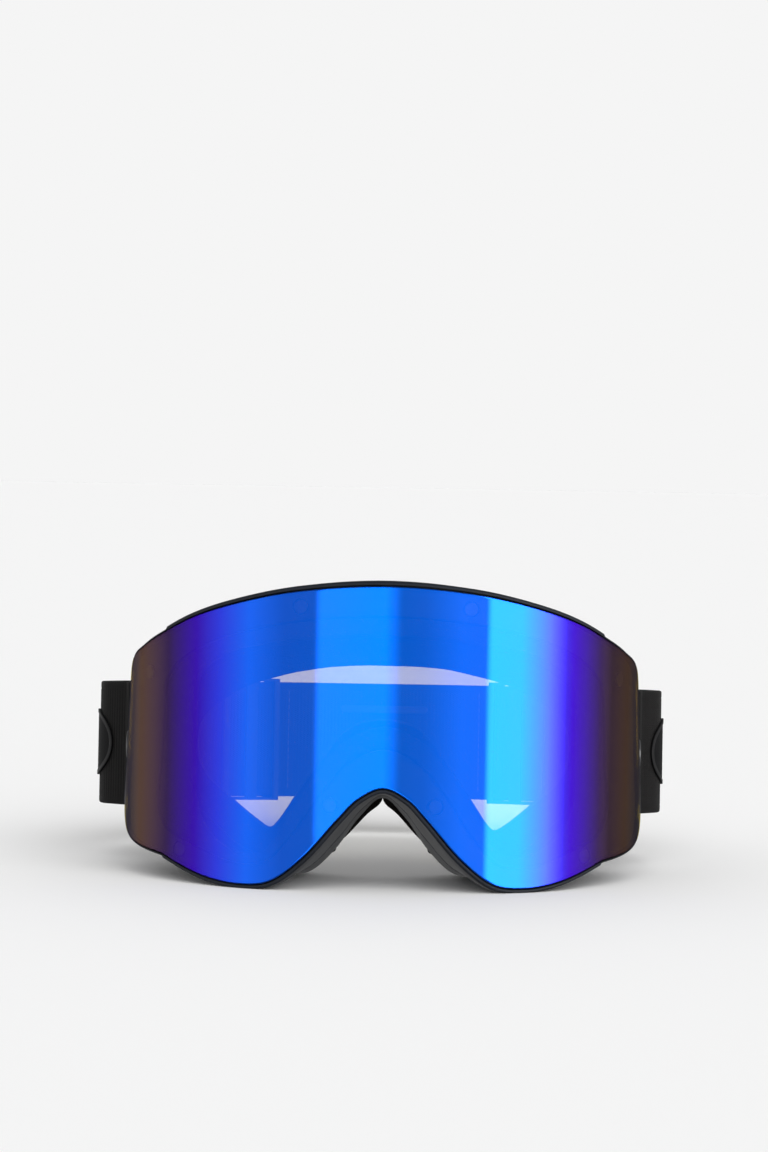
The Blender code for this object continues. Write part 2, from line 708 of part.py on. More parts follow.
def build_webbing(strap, outer):
    right, left = [outer[side] + turned_in_half_path(outer[side], side) for side in (1, -1)]
    line = [Vector((-point.x, point.y)) for point in reversed(left[1:])] + right
    normals = side_normals(line, False)
    reach = STRAP_THICKNESS / 2
    outline = [point + normal * reach for point, normal in zip(line, normals)]
    outline += [point - normal * reach for point, normal in reversed(list(zip(line, normals)))]
    placed_plate("strap_webbing", [outline], -STRAP_WIDTH / 2, STRAP_WIDTH / 2,
                 lambda x, y, z: Vector((x, y, z)), MATERIALS["webbing"], parent=strap)


def path_frame(path, distance):
    """The point and the outward normal at a distance along a path."""
    for a, b in zip(path, path[1:]):
        step = (b - a).length
        if distance <= step:
            break
        distance -= step
    along = (b - a).normalized()
    return a + along * distance, Vector((-along.y, along.x))


def distance_to(path, axis, value):
    """How far along a path the first point lies whose coordinate on an axis is the value."""
    distance = 0.0
    for a, b in zip(path, path[1:]):
        if (a[axis] - value) * (b[axis] - value) < 0:
            return distance + (b - a).length * (value - a[axis]) / (b[axis] - a[axis])
        distance += (b - a).length
    raise ValueError("the path never reaches that value")


def build_badge(name, strap, outer, side):
    """A blank oval patch that follows the strap's outside."""
    centre = distance_to(outer, 1, BADGE_CENTRE_Y - PIVOT_Y)
    near = STRAP_THICKNESS / 2 + PART_GAP

    def place(along, height, lift):
        point, outward = path_frame(outer, centre + along)
        moved = point + outward * lift
        return Vector((side * moved.x, moved.y, height))

    outline = circle(Vector((0, 0)), *BADGE_RADII, 2 * ROUND_STEPS)
    creases = [i * BADGE_RADII[0] / 5 for i in range(-4, 5)]
    placed_plate(name, [outline], near, near + BADGE_THICKNESS, place, MATERIALS["badge"],
                 creases, strap)


def build_grips(strap):
    inside = strap_point(*STRAP_BACK_KNOTS[0]).y - STRAP_THICKNESS / 2 - PART_GAP - GRIP_SIZE[0] / 2
    for i, height in enumerate(GRIP_HEIGHTS):
        box_object("grip_strip_%d" % (i + 1), (GRIP_LENGTH, *GRIP_SIZE), MATERIALS["grip"],
                   strap, Matrix.Translation((0, inside, height)))


def build_clip(name, strap, side):
    """A flat clip in the plane across the pivot: an eye for the post and a slot for the strap."""
    arc = [CLIP_EYE_RADIUS * Vector((math.cos(math.radians(a)), math.sin(math.radians(a))))
           for a in range(115, 246, 13)]
    half = CLIP_HALF_HEIGHT
    neck = CLIP_NECK
    rear = CLIP_REAR
    corner = CLIP_CORNER
    outline = arc + [Vector(place) for place in (
        (neck, -half + corner), (neck + corner, -half), (rear - corner, -half),
        (rear, -half + corner), (rear, half - corner), (rear - corner, half),
        (neck + corner, half), (neck, half - corner))]
    slot_z = (-CLIP_SLOT_HALF_HEIGHT, CLIP_SLOT_HALF_HEIGHT)
    slot = rounded_rectangle(CLIP_SLOT_Y, slot_z, 1.2 * MM)
    hole = circle(Vector((0, 0)), *(POST_RADIUS + POST_CLEARANCE,) * 2, ROUND_STEPS)
    placed_plate(name, [outline, slot, hole], *CLIP_X,
                 lambda y, z, x: Vector((side * x, y, z)), MATERIALS["clip"], parent=strap)


def build_slider(name, strap, outer, side):
    """A ladder lock round both layers: two bars outside, one inside, two rails."""
    point, outward = path_frame(outer, distance_to(outer, 0, SLIDER_X))
    turn = math.atan2(outward.x, outward.y) * side
    inner_wall, outer_wall = SLIDER_WALLS
    tunnel, tunnel_height = SLIDER_TUNNEL
    middle = point - outward * LAYER_PITCH / 2
    place = Matrix.Translation((side * middle.x, middle.y, 0)) @ Matrix.Rotation(-turn, 4, "Z")
    depth = tunnel + inner_wall + outer_wall
    shift = Matrix.Translation((0, (outer_wall - inner_wall) / 2, 0))
    body = box_object(name, (SLIDER_LENGTH, depth, SLIDER_HEIGHT), MATERIALS["slider"], strap,
                      place @ shift)
    tunnel_size = (SLIDER_LENGTH + 2 * CUT_MARGIN, tunnel, tunnel_height)
    outer_window = SLIDER_LENGTH - 2 * SLIDER_BAR
    side_window = SLIDER_LENGTH / 2 - SLIDER_BAR
    openings = [(tunnel_size, (0, 0, 0)),
                ((outer_window, 2 * outer_wall, tunnel_height),
                 (0, (tunnel + outer_wall) / 2, 0))]
    for end in (-1, 1):
        centre = (end * (SLIDER_BAR + side_window) / 2, -(tunnel + inner_wall) / 2, 0)
        openings.append(((side_window, 2 * inner_wall, tunnel_height), centre))
    for i, (size, offset) in enumerate(openings):
        cutter = box_object("%s_cutter_%d" % (name, i + 1), size, MATERIALS["slider"], strap,
                            place @ Matrix.Translation(offset))
        cut(body, as_cutter(cutter))
    bevel = body.modifiers.new("Soft edges", "BEVEL")
    bevel.width = SLIDER_BEVEL
    bevel.segments = 1


def build_strap():
    strap = bpy.data.objects.new("strap_pivot", None)
    PARTS.objects.link(strap)
    strap.location = (0, PIVOT_Y, PIVOT_Z)
    strap.rotation_euler = (STRAP_SAG, 0, 0)
    outer = {side: outer_half_path(side) for side in (1, -1)}
    build_webbing(strap, outer)
    build_grips(strap)
    for word, side in (("right", 1), ("left", -1)):
        build_clip("strap_clip_" + word, strap, side)
        build_badge("strap_badge_" + word, strap, outer[side], side)
        build_slider("slider_" + word, strap, outer[side], side)


# ================================================================ the whole object
def all_materials():
    return {
        "frame": new_material("moulded frame", (0.035, 0.036, 0.04), 0.55),
        "mirror_lens": new_material("mirror lens", (0.0, 0.13, 0.85), 0.05, 0.9),
        "clear_lens": new_material("clear lens", (0.6, 0.55, 0.62), 0.1),
        "gasket": new_material("lens gasket", (0.02, 0.02, 0.022), 0.9),
        "carrier": new_material("lens carrier", (0.02, 0.02, 0.024), 0.45),
        "magnet": new_material("magnet", (0.6, 0.6, 0.62), 0.3, 1.0),
        "foam": new_material("face foam", (0.012, 0.011, 0.01), 0.95),
        "fleece": new_material("fleece", (0.01, 0.01, 0.011), 1.0),
        "vent_foam": new_material("vent foam", (0.03, 0.03, 0.03), 0.95),
        "arm": new_material("side arm", (0.03, 0.03, 0.034), 0.5),
        "post": new_material("strap post", (0.05, 0.05, 0.055), 0.35),
        "clip": new_material("strap clip", (0.025, 0.025, 0.028), 0.4),
        "webbing": new_material("strap webbing", (0.02, 0.02, 0.022), 0.85),
        "badge": new_material("strap badge", (0.04, 0.04, 0.045), 0.5),
        "grip": new_material("silicone grip", (0.06, 0.06, 0.065), 0.6),
        "slider": new_material("slider", (0.02, 0.02, 0.022), 0.4),
    }


def build_goggles():
    lines = Outlines()
    rings = frame_rings(lines)
    places = magnet_positions(lines)
    build_frame(lines, rings, places)
    build_vent_foam(rings)
    build_lens_unit(lines, places)
    build_magnets(places)
    build_foam(lines)
    build_nose_flaps()
    for word, side in (("right", 1), ("left", -1)):
        build_side_arm("side_arm_" + word, rings, side)
        build_post("strap_post_" + word, side)
    build_strap()


clear_scene()
PARTS = new_collection("ski_goggles")
CUTTERS = new_collection("ski_goggles_cutters")
MATERIALS = all_materials()
build_goggles()
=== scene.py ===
"""Ski goggles: fine meshes, materials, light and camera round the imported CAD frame.

Lengths are in metres, and MM turns millimetres into metres. +X is to the right as seen from the
front, -Y is where the wearer looks, +Z is up, and the goggles stand on z = 0.
"""
import math

import bmesh
import bpy
import numpy as np
from mathutils import Matrix, Vector, geometry, noise


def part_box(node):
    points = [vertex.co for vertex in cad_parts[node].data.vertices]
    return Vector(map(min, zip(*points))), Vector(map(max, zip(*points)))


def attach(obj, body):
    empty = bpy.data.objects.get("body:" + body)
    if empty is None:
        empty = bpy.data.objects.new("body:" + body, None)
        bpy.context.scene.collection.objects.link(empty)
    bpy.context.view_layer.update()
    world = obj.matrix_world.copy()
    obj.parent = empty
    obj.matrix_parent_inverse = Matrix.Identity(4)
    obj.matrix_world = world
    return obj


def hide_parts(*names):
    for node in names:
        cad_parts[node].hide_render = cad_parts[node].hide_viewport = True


MM = 0.001
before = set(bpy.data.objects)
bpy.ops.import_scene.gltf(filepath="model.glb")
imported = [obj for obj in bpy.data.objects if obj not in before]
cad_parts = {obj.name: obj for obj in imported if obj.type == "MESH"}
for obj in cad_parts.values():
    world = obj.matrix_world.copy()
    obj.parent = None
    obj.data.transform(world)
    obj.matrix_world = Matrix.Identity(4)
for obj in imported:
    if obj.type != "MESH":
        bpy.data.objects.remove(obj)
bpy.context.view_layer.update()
NOISE_SEED = 1                           # Blender would take the clock, and each run's foam differ
noise.seed_set(NOISE_SEED)

# ---------------------------------------------------------------- layout, as in the CAD model
APEX_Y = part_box("outer_lens")[0].y       # foremost line of the lens
LENS_WRAP_X = 91.5 * MM                  # the lens bends along this ellipse, seen from above
LENS_WRAP_Y = 62.0 * MM
FACE_DEPTH = 40.0 * MM                   # from the lens's front to the frame's back
FACE_RADIUS = 99.0 * MM
STATION_SPACING = 1.6 * MM

# Outlines from the front, in millimetres: the right half, from the top of the middle plane,
# round the temple and the cheek, up to the nose. Their knots pair up, so they can be blended.
LENS_KNOTS = (
    (0, 103.2), (30, 100.9), (53, 95.6), (66, 90.8), (75.1, 85.7), (75.9, 85.15), (83.4, 79.8),
    (88.0, 73.9), (88.9, 60), (89.8, 40), (90.8, 22.5), (89.7, 14.8), (75.9, 9.2), (75.1, 8.9),
    (60, 3.0), (48, 1.45), (38, 2.9), (27, 11.2), (15, 24.8), (8.4, 31.6), (0, 35.4),
)
APERTURE_KNOTS = (
    (0, 87), (27, 85.3), (45, 82), (55, 78.9), (61, 75.6), (61.4, 75.3), (65, 71),
    (66.3, 65), (66.5, 55), (66.5, 40), (66, 29), (63, 21), (57.5, 15.2), (57, 14.9),
    (51, 12.2), (46.5, 11.8), (41, 13), (33, 23.5), (24, 38.5), (14, 50.5), (0, 56),
)
FACE_KNOTS = (
    (0, 92), (28, 90.8), (48, 86.5), (59, 81.8), (66.5, 76.5), (67.1, 76), (72.5, 70.5),
    (76.5, 64), (79, 54), (78.8, 38), (75.5, 24), (70.5, 15), (62.5, 8.2), (62, 7.9),
    (53, 1.6), (45, -0.15), (36, 0.2), (25.2, 1.9), (16.6, 9.6), (7.6, 21.9), (0, 28.4),
)
# The foam follows the frame's back, but for the nose, where it leaves room for the flaps.
FOAM_LOBE_KNOTS = (
    (53, 1.9), (45, 0.5), (36, 0.6), (26.5, 3.4), (20, 15.5), (10.5, 28.5), (0, 34),
)
FOAM_KNOTS = FACE_KNOTS[:-len(FOAM_LOBE_KNOTS)] + FOAM_LOBE_KNOTS
EYE_KNOTS = (
    (0, 74), (20, 73), (38, 69), (48.5, 65), (56, 60.5), (56.5, 60), (61.5, 56),
    (64.5, 52), (66, 46), (65.3, 38), (62, 32), (57, 28), (50, 22.5), (49.5, 22.1),
    (43.5, 17.8), (39.3, 15.8), (36.5, 18.5), (31, 27), (22, 40), (12, 52), (0, 55),
)
NOSE_FLAP_POINTS = (
    (0.3, 33.2), (5.2, 31.3), (9.8, 27.8), (14.3, 21.9), (18.8, 14.0), (17.6, 8.6),
    (16.2, 9.2), (15.4, 11.4), (11.7, 15.2), (5.2, 22.4), (0.3, 27.0),
)

# Depths under the lens's front, and shares of the way from its outline to the aperture.
OUTER_LENS = (0.0, 1.4 * MM)
INNER_LENS = (4.5 * MM, 5.3 * MM)
CARRIER = (1.7 * MM, 4.7 * MM)
CARRIER_SPAN = (0.05, 0.62)
GASKET = (1.7 * MM, 4.1 * MM)
GASKET_SPAN = (0.66, 1.0)
LENS_EDGE = 0.45 * MM
LENS_GRID = (1.5 * MM, 5.0 * MM)
LENS_BACK_COSINE = -0.3                  # faces turned this far from the front get the back's look
PANE_EDGE = 0.25 * MM
GASKET_EDGE = 0.5 * MM
CARRIER_EDGE = 0.4 * MM

RIM_WIDTH = 1.7 * MM
RIM_WIDTH_TEMPLE = 1.1 * MM
RIM_STEP_X = 75.5 * MM
RIM_FRONT = 0.4 * MM
RIM_CHAMFER = 0.5 * MM
LENS_CLEARANCE = 0.35 * MM
SEAT = (5.0 * MM, 7.2 * MM)
SEAT_SPAN = 0.60
GUSSET_BACK = 9.0 * MM
GUSSET_INSET = 0.1 * MM
FLANGE_THICKNESS = 2.0 * MM
FLANGE_SPAN = 0.45
WALL_SPAN = 0.14
GROOVE_PLACE = (0.52, 0.56)              # shallow line round the wall, as shares of its depth
GROOVE_DEPTH = 0.45 * MM
GROOVE_EDGE = 0.12 * MM
TOP_VENT_X = (-57.5 * MM, -35.5 * MM, -12.0 * MM, 12.0 * MM, 35.5 * MM, 57.5 * MM)
TOP_VENT_SIZE = (19.0 * MM, 13.0 * MM, 22.0 * MM)
LOW_VENT_X = (-70.0 * MM, -58.0 * MM, 58.0 * MM, 70.0 * MM)
LOW_VENT_SIZE = (8.0 * MM, 12.0 * MM, 14.0 * MM)
VENT_CORNER = 2.6 * MM
VENT_FOAM_THICKNESS = 2.2 * MM
VENT_FOAM_RANGE = (0.14, 0.86)
VENT_FOAM_X = {"top": (-72 * MM, 72 * MM), "left": (-78 * MM, -50 * MM),
               "right": (50 * MM, 78 * MM)}
VENT_FOAM_ROWS = 15
VENT_FOAM_ROUNDING = (1.5, 1.0)          # rows and columns that its rounded edge takes up
VENT_FOAM_EDGE_LIFT = 0.25               # of its thickness

MAGNET_RADIUS = 2.5 * MM
MAGNET_CLEARANCE = 0.3 * MM
MAGNET_EDGE = 0.25 * MM
MAGNET_SPAN = 0.33
MAGNET_KNOTS = (1, 7, 12, 18)
MAGNET_DEPTHS = {"lens": (2.0 * MM, 4.4 * MM), "frame": (5.35 * MM, 6.95 * MM)}
POCKET_DEPTHS = (0.5 * MM, 10.5 * MM)
POCKET_STEPS = 32

PART_GAP = 0.3 * MM
FIRM_FOAM = 5.6 * MM                     # the face foam is a firm layer and a soft one
FOAM_BASE_THICKNESS = 10.2 * MM
FLEECE_THICKNESS = 2.7 * MM
FLEECE_EDGE = 0.06
FOAM_SWELL = (9 * MM, 0.22 * MM)         # size and amount of its slow unevenness
FOAM_GROUND_GAP = 0.2 * MM
NOSE_PAD_EDGE = 0.9 * MM
NOSE_PAD_STEPS = 5
PAD_GRID = (1.5 * MM, 1.5 * MM)

PIVOT_Y = APEX_Y + 65.5 * MM             # the strap swings about the line through both posts
PIVOT_Z = 43.0 * MM
ARM_THICKNESS = 3.9 * MM
ARM_HEIGHTS = (22.0 * MM, 66.0 * MM)
ARM_RANGE = (0.07, 0.93)
ARM_ROWS = 19
ARM_ROUNDING = (2.2, 2.2)
ARM_UNDERSIDE = -0.15 * MM               # a little inside the wall
ARM_EDGE_THICKNESS = 0.6 * MM
ARM_SWELL = ARM_THICKNESS - 0.5 * MM     # from its edge to its middle
BOSS_RADIUS = 5.5 * MM
BOSS_X = (83.8 * MM, 87.1 * MM)
BOSS_EDGE = 0.4 * MM
BORE_LEAD = 4 * MM                       # the bore starts this far inside the boss's inner end
BORE_LENGTH = 12 * MM
BORE_EDGE = 0.1 * MM
POST_RADIUS = 3.0 * MM
POST_CLEARANCE = 0.3 * MM
POST_X = (82.5 * MM, 91.0 * MM)
POST_HEAD_RADIUS = 5.0 * MM
POST_HEAD_X = 89.7 * MM
POST_EDGE = 0.3 * MM
POST_HEAD_EDGE = 0.15 * MM
# The head's top, from its side to its dished middle: millimetres (in from its radius, down).
POST_DISH = ((0, 0.5), (0.15, 0.15), (0.5, 0), (1.4, 0), (1.8, 0.3), (2.2, 0.4))
CLIP_X = (87.4 * MM, 89.4 * MM)
CLIP_EYE_RADIUS = 8.0 * MM
CLIP_REAR = 13.4 * MM
CLIP_NECK = 5.5 * MM
CLIP_HALF_HEIGHT = 27.0 * MM
CLIP_SLOT_Y = (7.0 * MM, 10.5 * MM)
CLIP_SLOT_HALF_HEIGHT = 23.5 * MM
CLIP_EYE_ARC = (115, 245, 30)            # from and to in degrees, and its steps
CLIP_CORNER = 3.2 * MM
CLIP_SLOT_CORNER = 1.4 * MM
CLIP_EDGE = 0.35 * MM
CLIP_GRID = (2.5 * MM, 2.5 * MM)

STRAP_SAG = math.radians(-3.4)
STRAP_WIDTH = 44.0 * MM
STRAP_THICKNESS = 1.6 * MM
LAYER_PITCH = 1.95 * MM
TAIL_END_X = 34.0 * MM
# The strap from above, in millimetres behind the lens's front: from the middle of the back,
# out round the side and forward to the clip, where it turns round the clip's bar. The right
# side is 1 and the left side is -1, which bows out a little more.
STRAP_BACK_KNOTS = (
    (0, 171), (8, 171), (16, 171), (24, 170.3), (32, 168.2), (52, 161.6), (72, 155),
)
STRAP_SIDE_KNOTS = {
    1: ((83, 147.6), (91.4, 136), (97, 122), (99.7, 108.5), (100.3, 97), (98.9, 87.8),
        (95.2, 81.9), (91.9, 77.7)),
    -1: ((83.4, 147.9), (92.8, 136.6), (99.1, 122.4), (102.1, 108.5), (102.6, 97),
         (100.6, 87.6), (95.8, 81.6), (91.9, 77.7)),
}
BAR_TURN_KNOTS = ((90.9, 75.4), (88.4, 74.1), (86.0, 75.2), (85.3, 77.8), (86.9, 81.4),
                  (91.4, 85.6))
WEBBING_STEP = 0.34 * MM
RIB_PITCH = 1.36 * MM
RIB_DEPTH = 0.11 * MM
SELVEDGE = 2.6 * MM
HEM_ROWS = (3 * MM, 9 * MM)              # from the tail's end
TAIL_START = 3 * MM                      # the tail begins this far behind the clip's bar
TAIL_LEAD = 2 * MM
STITCH_LENGTH = 2.2 * MM
STITCH_RADIUS = 0.22 * MM
STITCH_PITCH = STITCH_LENGTH * 1.25
STITCH_SINK = 0.05 * MM
STITCH_STEPS = 8
SLIDER_X = 52.0 * MM
SLIDER_LENGTH = 22.0 * MM
SLIDER_HEIGHT = 46.6 * MM
SLIDER_TUNNEL = (4.4 * MM, 44.6 * MM)
SLIDER_WALLS = (1.4 * MM, 1.6 * MM)
SLIDER_BAR = 4.5 * MM
SLIDER_EDGE = 0.38 * MM
GRIP_LENGTH = 34.0 * MM
GRIP_SIZE = (0.6 * MM, 3.0 * MM)
GRIP_HEIGHTS = (-12.0 * MM, 0.0, 12.0 * MM)
GRIP_EDGE = 0.45 * MM
GRIP_GRID = (2.0 * MM, 1.0 * MM)
GRIP_END_STEPS = 12
BADGE_RADII = (15.0 * MM, 12.0 * MM)
BADGE_RIM = 1.5 * MM
BADGE_THICKNESS = (0.45 * MM, 0.7 * MM)
BADGE_EDGES = (0.15 * MM, 0.3 * MM)
BADGE_FIELD_INSET = BADGE_RIM * 0.7
BADGE_STEPS = 96
STRAP_SINK = 0.1 * MM                    # badges and grips reach this far into the webbing
BADGE_CENTRE_Y = APEX_Y + 96.0 * MM
ROUND_STEPS = 48
CORNER_SHARE = 0.46                      # of the way to the next corner, which a rounding may take
EDGE_HOLD = 0.35 * MM                    # a narrow strip inside a plate's edge keeps its flat flat
SHARP_ANGLE = math.radians(38)
BEVEL_ANGLE = math.radians(40)
SIDES = (("right", 1), ("left", -1))

# ---------------------------------------------------------------- the stage
CAMERA_PLACE = (-0.9 * MM, APEX_Y - 1.047, 0.1432)
CAMERA_LENS = 98.2
CAMERA_SENSOR = 36.0
CAMERA_PITCH = math.radians(-2.0)
CAMERA_ROLL = math.radians(1.0)
FLOOR_HALF = 20.0
PAPER = 0.913                            # the plain pale background
FILL_LIGHT = 0.64                        # the room's even light on matt surfaces
FLOOR_GREY = 0.90
SUN_ANGLE = math.radians(70)
SUN_FROM = Vector((0.35, -1.0, 0.72)).normalized()
# The sun adds what the fill leaves out, so that the lit floor is as bright as the background.
SUN_STRENGTH = (PAPER / FLOOR_GREY - FILL_LIGHT) * math.pi / SUN_FROM.z
# What a glossy surface sees of the room, from left to right: (degrees from straight ahead,
# brightness). A wide bright window stands on the right, and a dim one left of the middle.
ROOM_RANGE = 100.0
ROOM_HEIGHTS = (0.22, 0.55)              # the windows fade out between these sines of elevation
CEILING = 0.35
ROOM_BEHIND = (0.55, 0.85)               # and as they turn away behind the goggles, by cosine
BEHIND_CEILING = 0.7                     # share of the ceiling in what is seen there
ROOM_SCALE = 5.0
LEFT_WALL = ((-100, 0.7), (-45, 0.9), (-32, 0.57))
DIM_WINDOW = ((-22, 0.57), (-20, 1.6), (0, 1.6), (5, 0.6))
MIDDLE_WALL = ((12, 0.65), (24, 1.0), (32, 1.0))
BRIGHT_WINDOW = ((34, 4.3), (58, 4.3), (67, 1.4))
RIGHT_WALL = ((90, 1.0), (100, 0.4))
ROOM_STOPS = LEFT_WALL + DIM_WINDOW + MIDDLE_WALL + BRIGHT_WINDOW + RIGHT_WALL

# ---------------------------------------------------------------- looks
MIRROR_SHARE = 0.5                       # of the light that the coating sends back
# The coating's tint runs from blue through violet to a brown grey towards both temples:
# (distance from the middle plane, colour).
COATING_REACH = 95.0 * MM
COATING_STOPS = (
    (0.0 * MM, (0.0, 0.17, 1.0)),
    (46.0 * MM, (0.01, 0.14, 1.0)),
    (56.0 * MM, (0.03, 0.05, 0.84)),
    (64.0 * MM, (0.045, 0.006, 0.50)),
    (74.0 * MM, (0.045, 0.02, 0.11)),
    (84.0 * MM, (0.15, 0.09, 0.07)),
    (92.0 * MM, (0.20, 0.21, 0.25)),
)
LENS_TINT = (1.0, 0.88, 0.26, 1.0)
NOISE_RANGE = (0.3, 0.7)                 # where nearly all of a noise's values lie
RUBBED_CORNERS = ((0.53, 0.0), (0.62, 0.6))


# ================================================================ curves in the plane
def smooth_span(before, start, end, after, steps):
    """Points of a centripetal Catmull-Rom span, from start up to but not including end."""
    t_start = (start - before).length ** 0.5
    t_end = t_start + (end - start).length ** 0.5
    t_after = t_end + (after - end).length ** 0.5
    points = []
    for i in range(steps):
        t = t_start + (t_end - t_start) * i / steps
        a = before.lerp(start, t / t_start)
        b = start.lerp(end, (t - t_start) / (t_end - t_start))
        c = end.lerp(after, (t - t_end) / (t_after - t_end))
        d = a.lerp(b, t / t_end)
        e = b.lerp(c, (t - t_start) / (t_after - t_start))
        points.append(d.lerp(e, (t - t_start) / (t_end - t_start)))
    return points


def mirrored_loop(half):
    """A closed loop of knots from its right half, whose first and last knots are on the middle."""
    return list(half) + [Vector((-knot.x, knot.y)) for knot in reversed(half[1:-1])]


def smooth_loop(knots, steps):
    points = []
    for i in range(len(knots)):
        after = knots[(i + 2) % len(knots)]
        points += smooth_span(knots[i - 1], knots[i], knots[(i + 1) % len(knots)], after, steps[i])
    return points


def blended(loop, other, share):
    return [a.lerp(b, share) for a, b in zip(loop, other)]


def side_normals(points, closed):
    """A unit vector at each point, to the left of the way the points run."""
    normals = []
    last = len(points) - 1
    for i in range(len(points)):
        ahead = points[(i + 1) % len(points)] if closed else points[min(i + 1, last)]
        behind = points[i - 1] if closed else points[max(i - 1, 0)]
        along = (ahead - behind).normalized()
        normals.append(Vector((-along.y, along.x)))
    return normals


def widened(loop, amounts):
    return [p + n * a for p, n, a in zip(loop, side_normals(loop, True), amounts)]


def signed_area(loop):
    return sum(a.x * b.y - a.y * b.x for a, b in zip(loop, loop[1:] + loop[:1])) / 2


def shrunk(loop, amount):
    """The loop moved inwards by an amount, whichever way it runs; a negative one is outwards."""
    inwards = 1 if signed_area(loop) > 0 else -1
    return widened(loop, [amount * inwards] * len(loop))


def arc(centre, radii, start, end, steps):
    """Points of an arc from one angle to another, in degrees."""
    angles = [math.radians(start + (end - start) * i / steps) for i in range(steps + 1)]
    return [centre + Vector((radii[0] * math.cos(a), radii[1] * math.sin(a))) for a in angles]


def circle(centre, radius_x, radius_y, steps=ROUND_STEPS):
    return arc(centre, (radius_x, radius_y), 0, 360, steps)[:-1]


def rounded_outline(corners, radii, steps=5):
    """A closed outline with each corner rounded by its own radius."""
    points = []
    for i, corner in enumerate(corners):
        before = (corners[i - 1] - corner).normalized() * radii[i]
        after = (corners[(i + 1) % len(corners)] - corner).normalized() * radii[i]
        for step in range(steps + 1):
            t = step / steps
            points.append(corner + before * (1 - t) ** 2 + after * t ** 2)
    return points


# ================================================================ outlines shared by the parts
def on_lens(u, z, depth):
    """The point u round the lens from the middle plane, at height z, depth under its front."""
    turn = u / LENS_WRAP_X
    return Vector(((LENS_WRAP_X - depth) * math.sin(turn),
                   APEX_Y + depth + (LENS_WRAP_Y - depth) * (1 - math.cos(turn)), z))


def unrolled(x):
    return LENS_WRAP_X * math.asin(x / LENS_WRAP_X)


def lens_normal(u):
    turn = u / LENS_WRAP_X
    return Vector((LENS_WRAP_Y * math.sin(turn), -LENS_WRAP_X * math.cos(turn), 0)).normalized()


def face_y(x):
    return APEX_Y + FACE_DEPTH + FACE_RADIUS - math.sqrt(FACE_RADIUS ** 2 - x ** 2)


def unrolled_knots(knots):
    return mirrored_loop([Vector((unrolled(x * MM), z * MM)) for x, z in knots])


def front_knots(knots):
    return mirrored_loop([Vector((x * MM, z * MM)) for x, z in knots])


class Outlines:
    """The smooth outlines, with matching points; lens and aperture lie round the lens."""

    def __init__(self):
        knots = unrolled_knots(LENS_KNOTS)
        lengths = [(b - a).length for a, b in zip(knots, knots[1:] + knots[:1])]
        steps = [max(2, round(length / STATION_SPACING)) for length in lengths]
        self.knot_places = [sum(steps[:i]) for i in range(len(steps))]
        self.lens = smooth_loop(knots, steps)
        self.aperture = smooth_loop(unrolled_knots(APERTURE_KNOTS), steps)
        self.face = smooth_loop(front_knots(FACE_KNOTS), steps)
        self.foam = smooth_loop(front_knots(FOAM_KNOTS), steps)
        self.eye = smooth_loop(front_knots(EYE_KNOTS), steps)

    def lens_ring(self, share):
        return blended(self.lens, self.aperture, share)

    def face_ring(self, share):
        return blended(self.face, self.eye, share)


def on_lens_loop(loop, depth):
    return [on_lens(point.x, point.y, depth) for point in loop]


def on_face_loop(loop, offset):
    return [Vector((point.x, face_y(point.x) + offset, point.y)) for point in loop]


# ================================================================ mesh helpers
def in_scene(name, data):
    """A new object in the scene, holding a mesh, a light or a camera."""
    obj = bpy.data.objects.new(name, data)
    bpy.context.scene.collection.objects.link(obj)
    return obj


def add_piece(name, mesh, material, body, slot, replaces=()):
    """A finished piece: shaded smooth, with its material, riding on a CAD body."""
    mesh.shade_smooth()
    mesh.set_sharp_from_angle(angle=SHARP_ANGLE)
    piece = in_scene(name, mesh)
    if not mesh.materials:
        mesh.materials.append(material)
    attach(piece, body)
    if replaces:
        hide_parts(*replaces)
    return piece


def mesh_of(name, vertices, faces):
    """A mesh whose faces look outwards."""
    mesh = bpy.data.meshes.new(name)
    mesh.from_pydata([tuple(v) for v in vertices], [], faces)
    bm = bmesh.new()
    bm.from_mesh(mesh)
    bmesh.ops.recalc_face_normals(bm, faces=bm.faces)
    bm.to_mesh(mesh)
    bm.free()
    return mesh


def rounded_rings(rings, radii, steps=3):
    """Rings through a section's corners, with each corner rounded by its radius."""
    rounded = []
    for i, ring in enumerate(rings):
        before, after = rings[i - 1], rings[(i + 1) % len(rings)]
        if not radii[i]:
            rounded.append(ring)
            continue
        for step in range(steps + 1):
            t = step / steps
            row = []
            for a, corner, b in zip(before, ring, after):
                to_a, to_b = a - corner, b - corner
                reach_a = to_a.normalized() * min(radii[i], to_a.length * CORNER_SHARE)
                reach_b = to_b.normalized() * min(radii[i], to_b.length * CORNER_SHARE)
                row.append(corner + reach_a * (1 - t) ** 2 + reach_b * t ** 2)
            rounded.append(row)
    return rounded


def closed_tube(name, rings):
    """A mesh through matching closed rings; the last ring joins the first."""
    count = len(rings[0])
    vertices = [point for ring in rings for point in ring]
    faces = []
    for r in range(len(rings)):
        here, there = r * count, (r + 1) % len(rings) * count
        for i in range(count):
            before = (i - 1) % count
            faces.append((here + before, here + i, there + i, there + before))
    return mesh_of(name, vertices, faces)


def inside_loops(points, loops):
    """Which points lie inside an odd number of the loops."""
    points = np.array([tuple(p) for p in points])
    inside = np.zeros(len(points), bool)
    for loop in loops:
        corners = np.array([tuple(p) for p in loop])
        for a, b in zip(corners, np.roll(corners, -1, axis=0)):
            crosses = (a[1] > points[:, 1]) != (b[1] > points[:, 1])
            if crosses.any():
                x = a[0] + (points[:, 1] - a[1]) * (b[0] - a[0]) / (b[1] - a[1])
                inside ^= crosses & (points[:, 0] < x)
    return inside


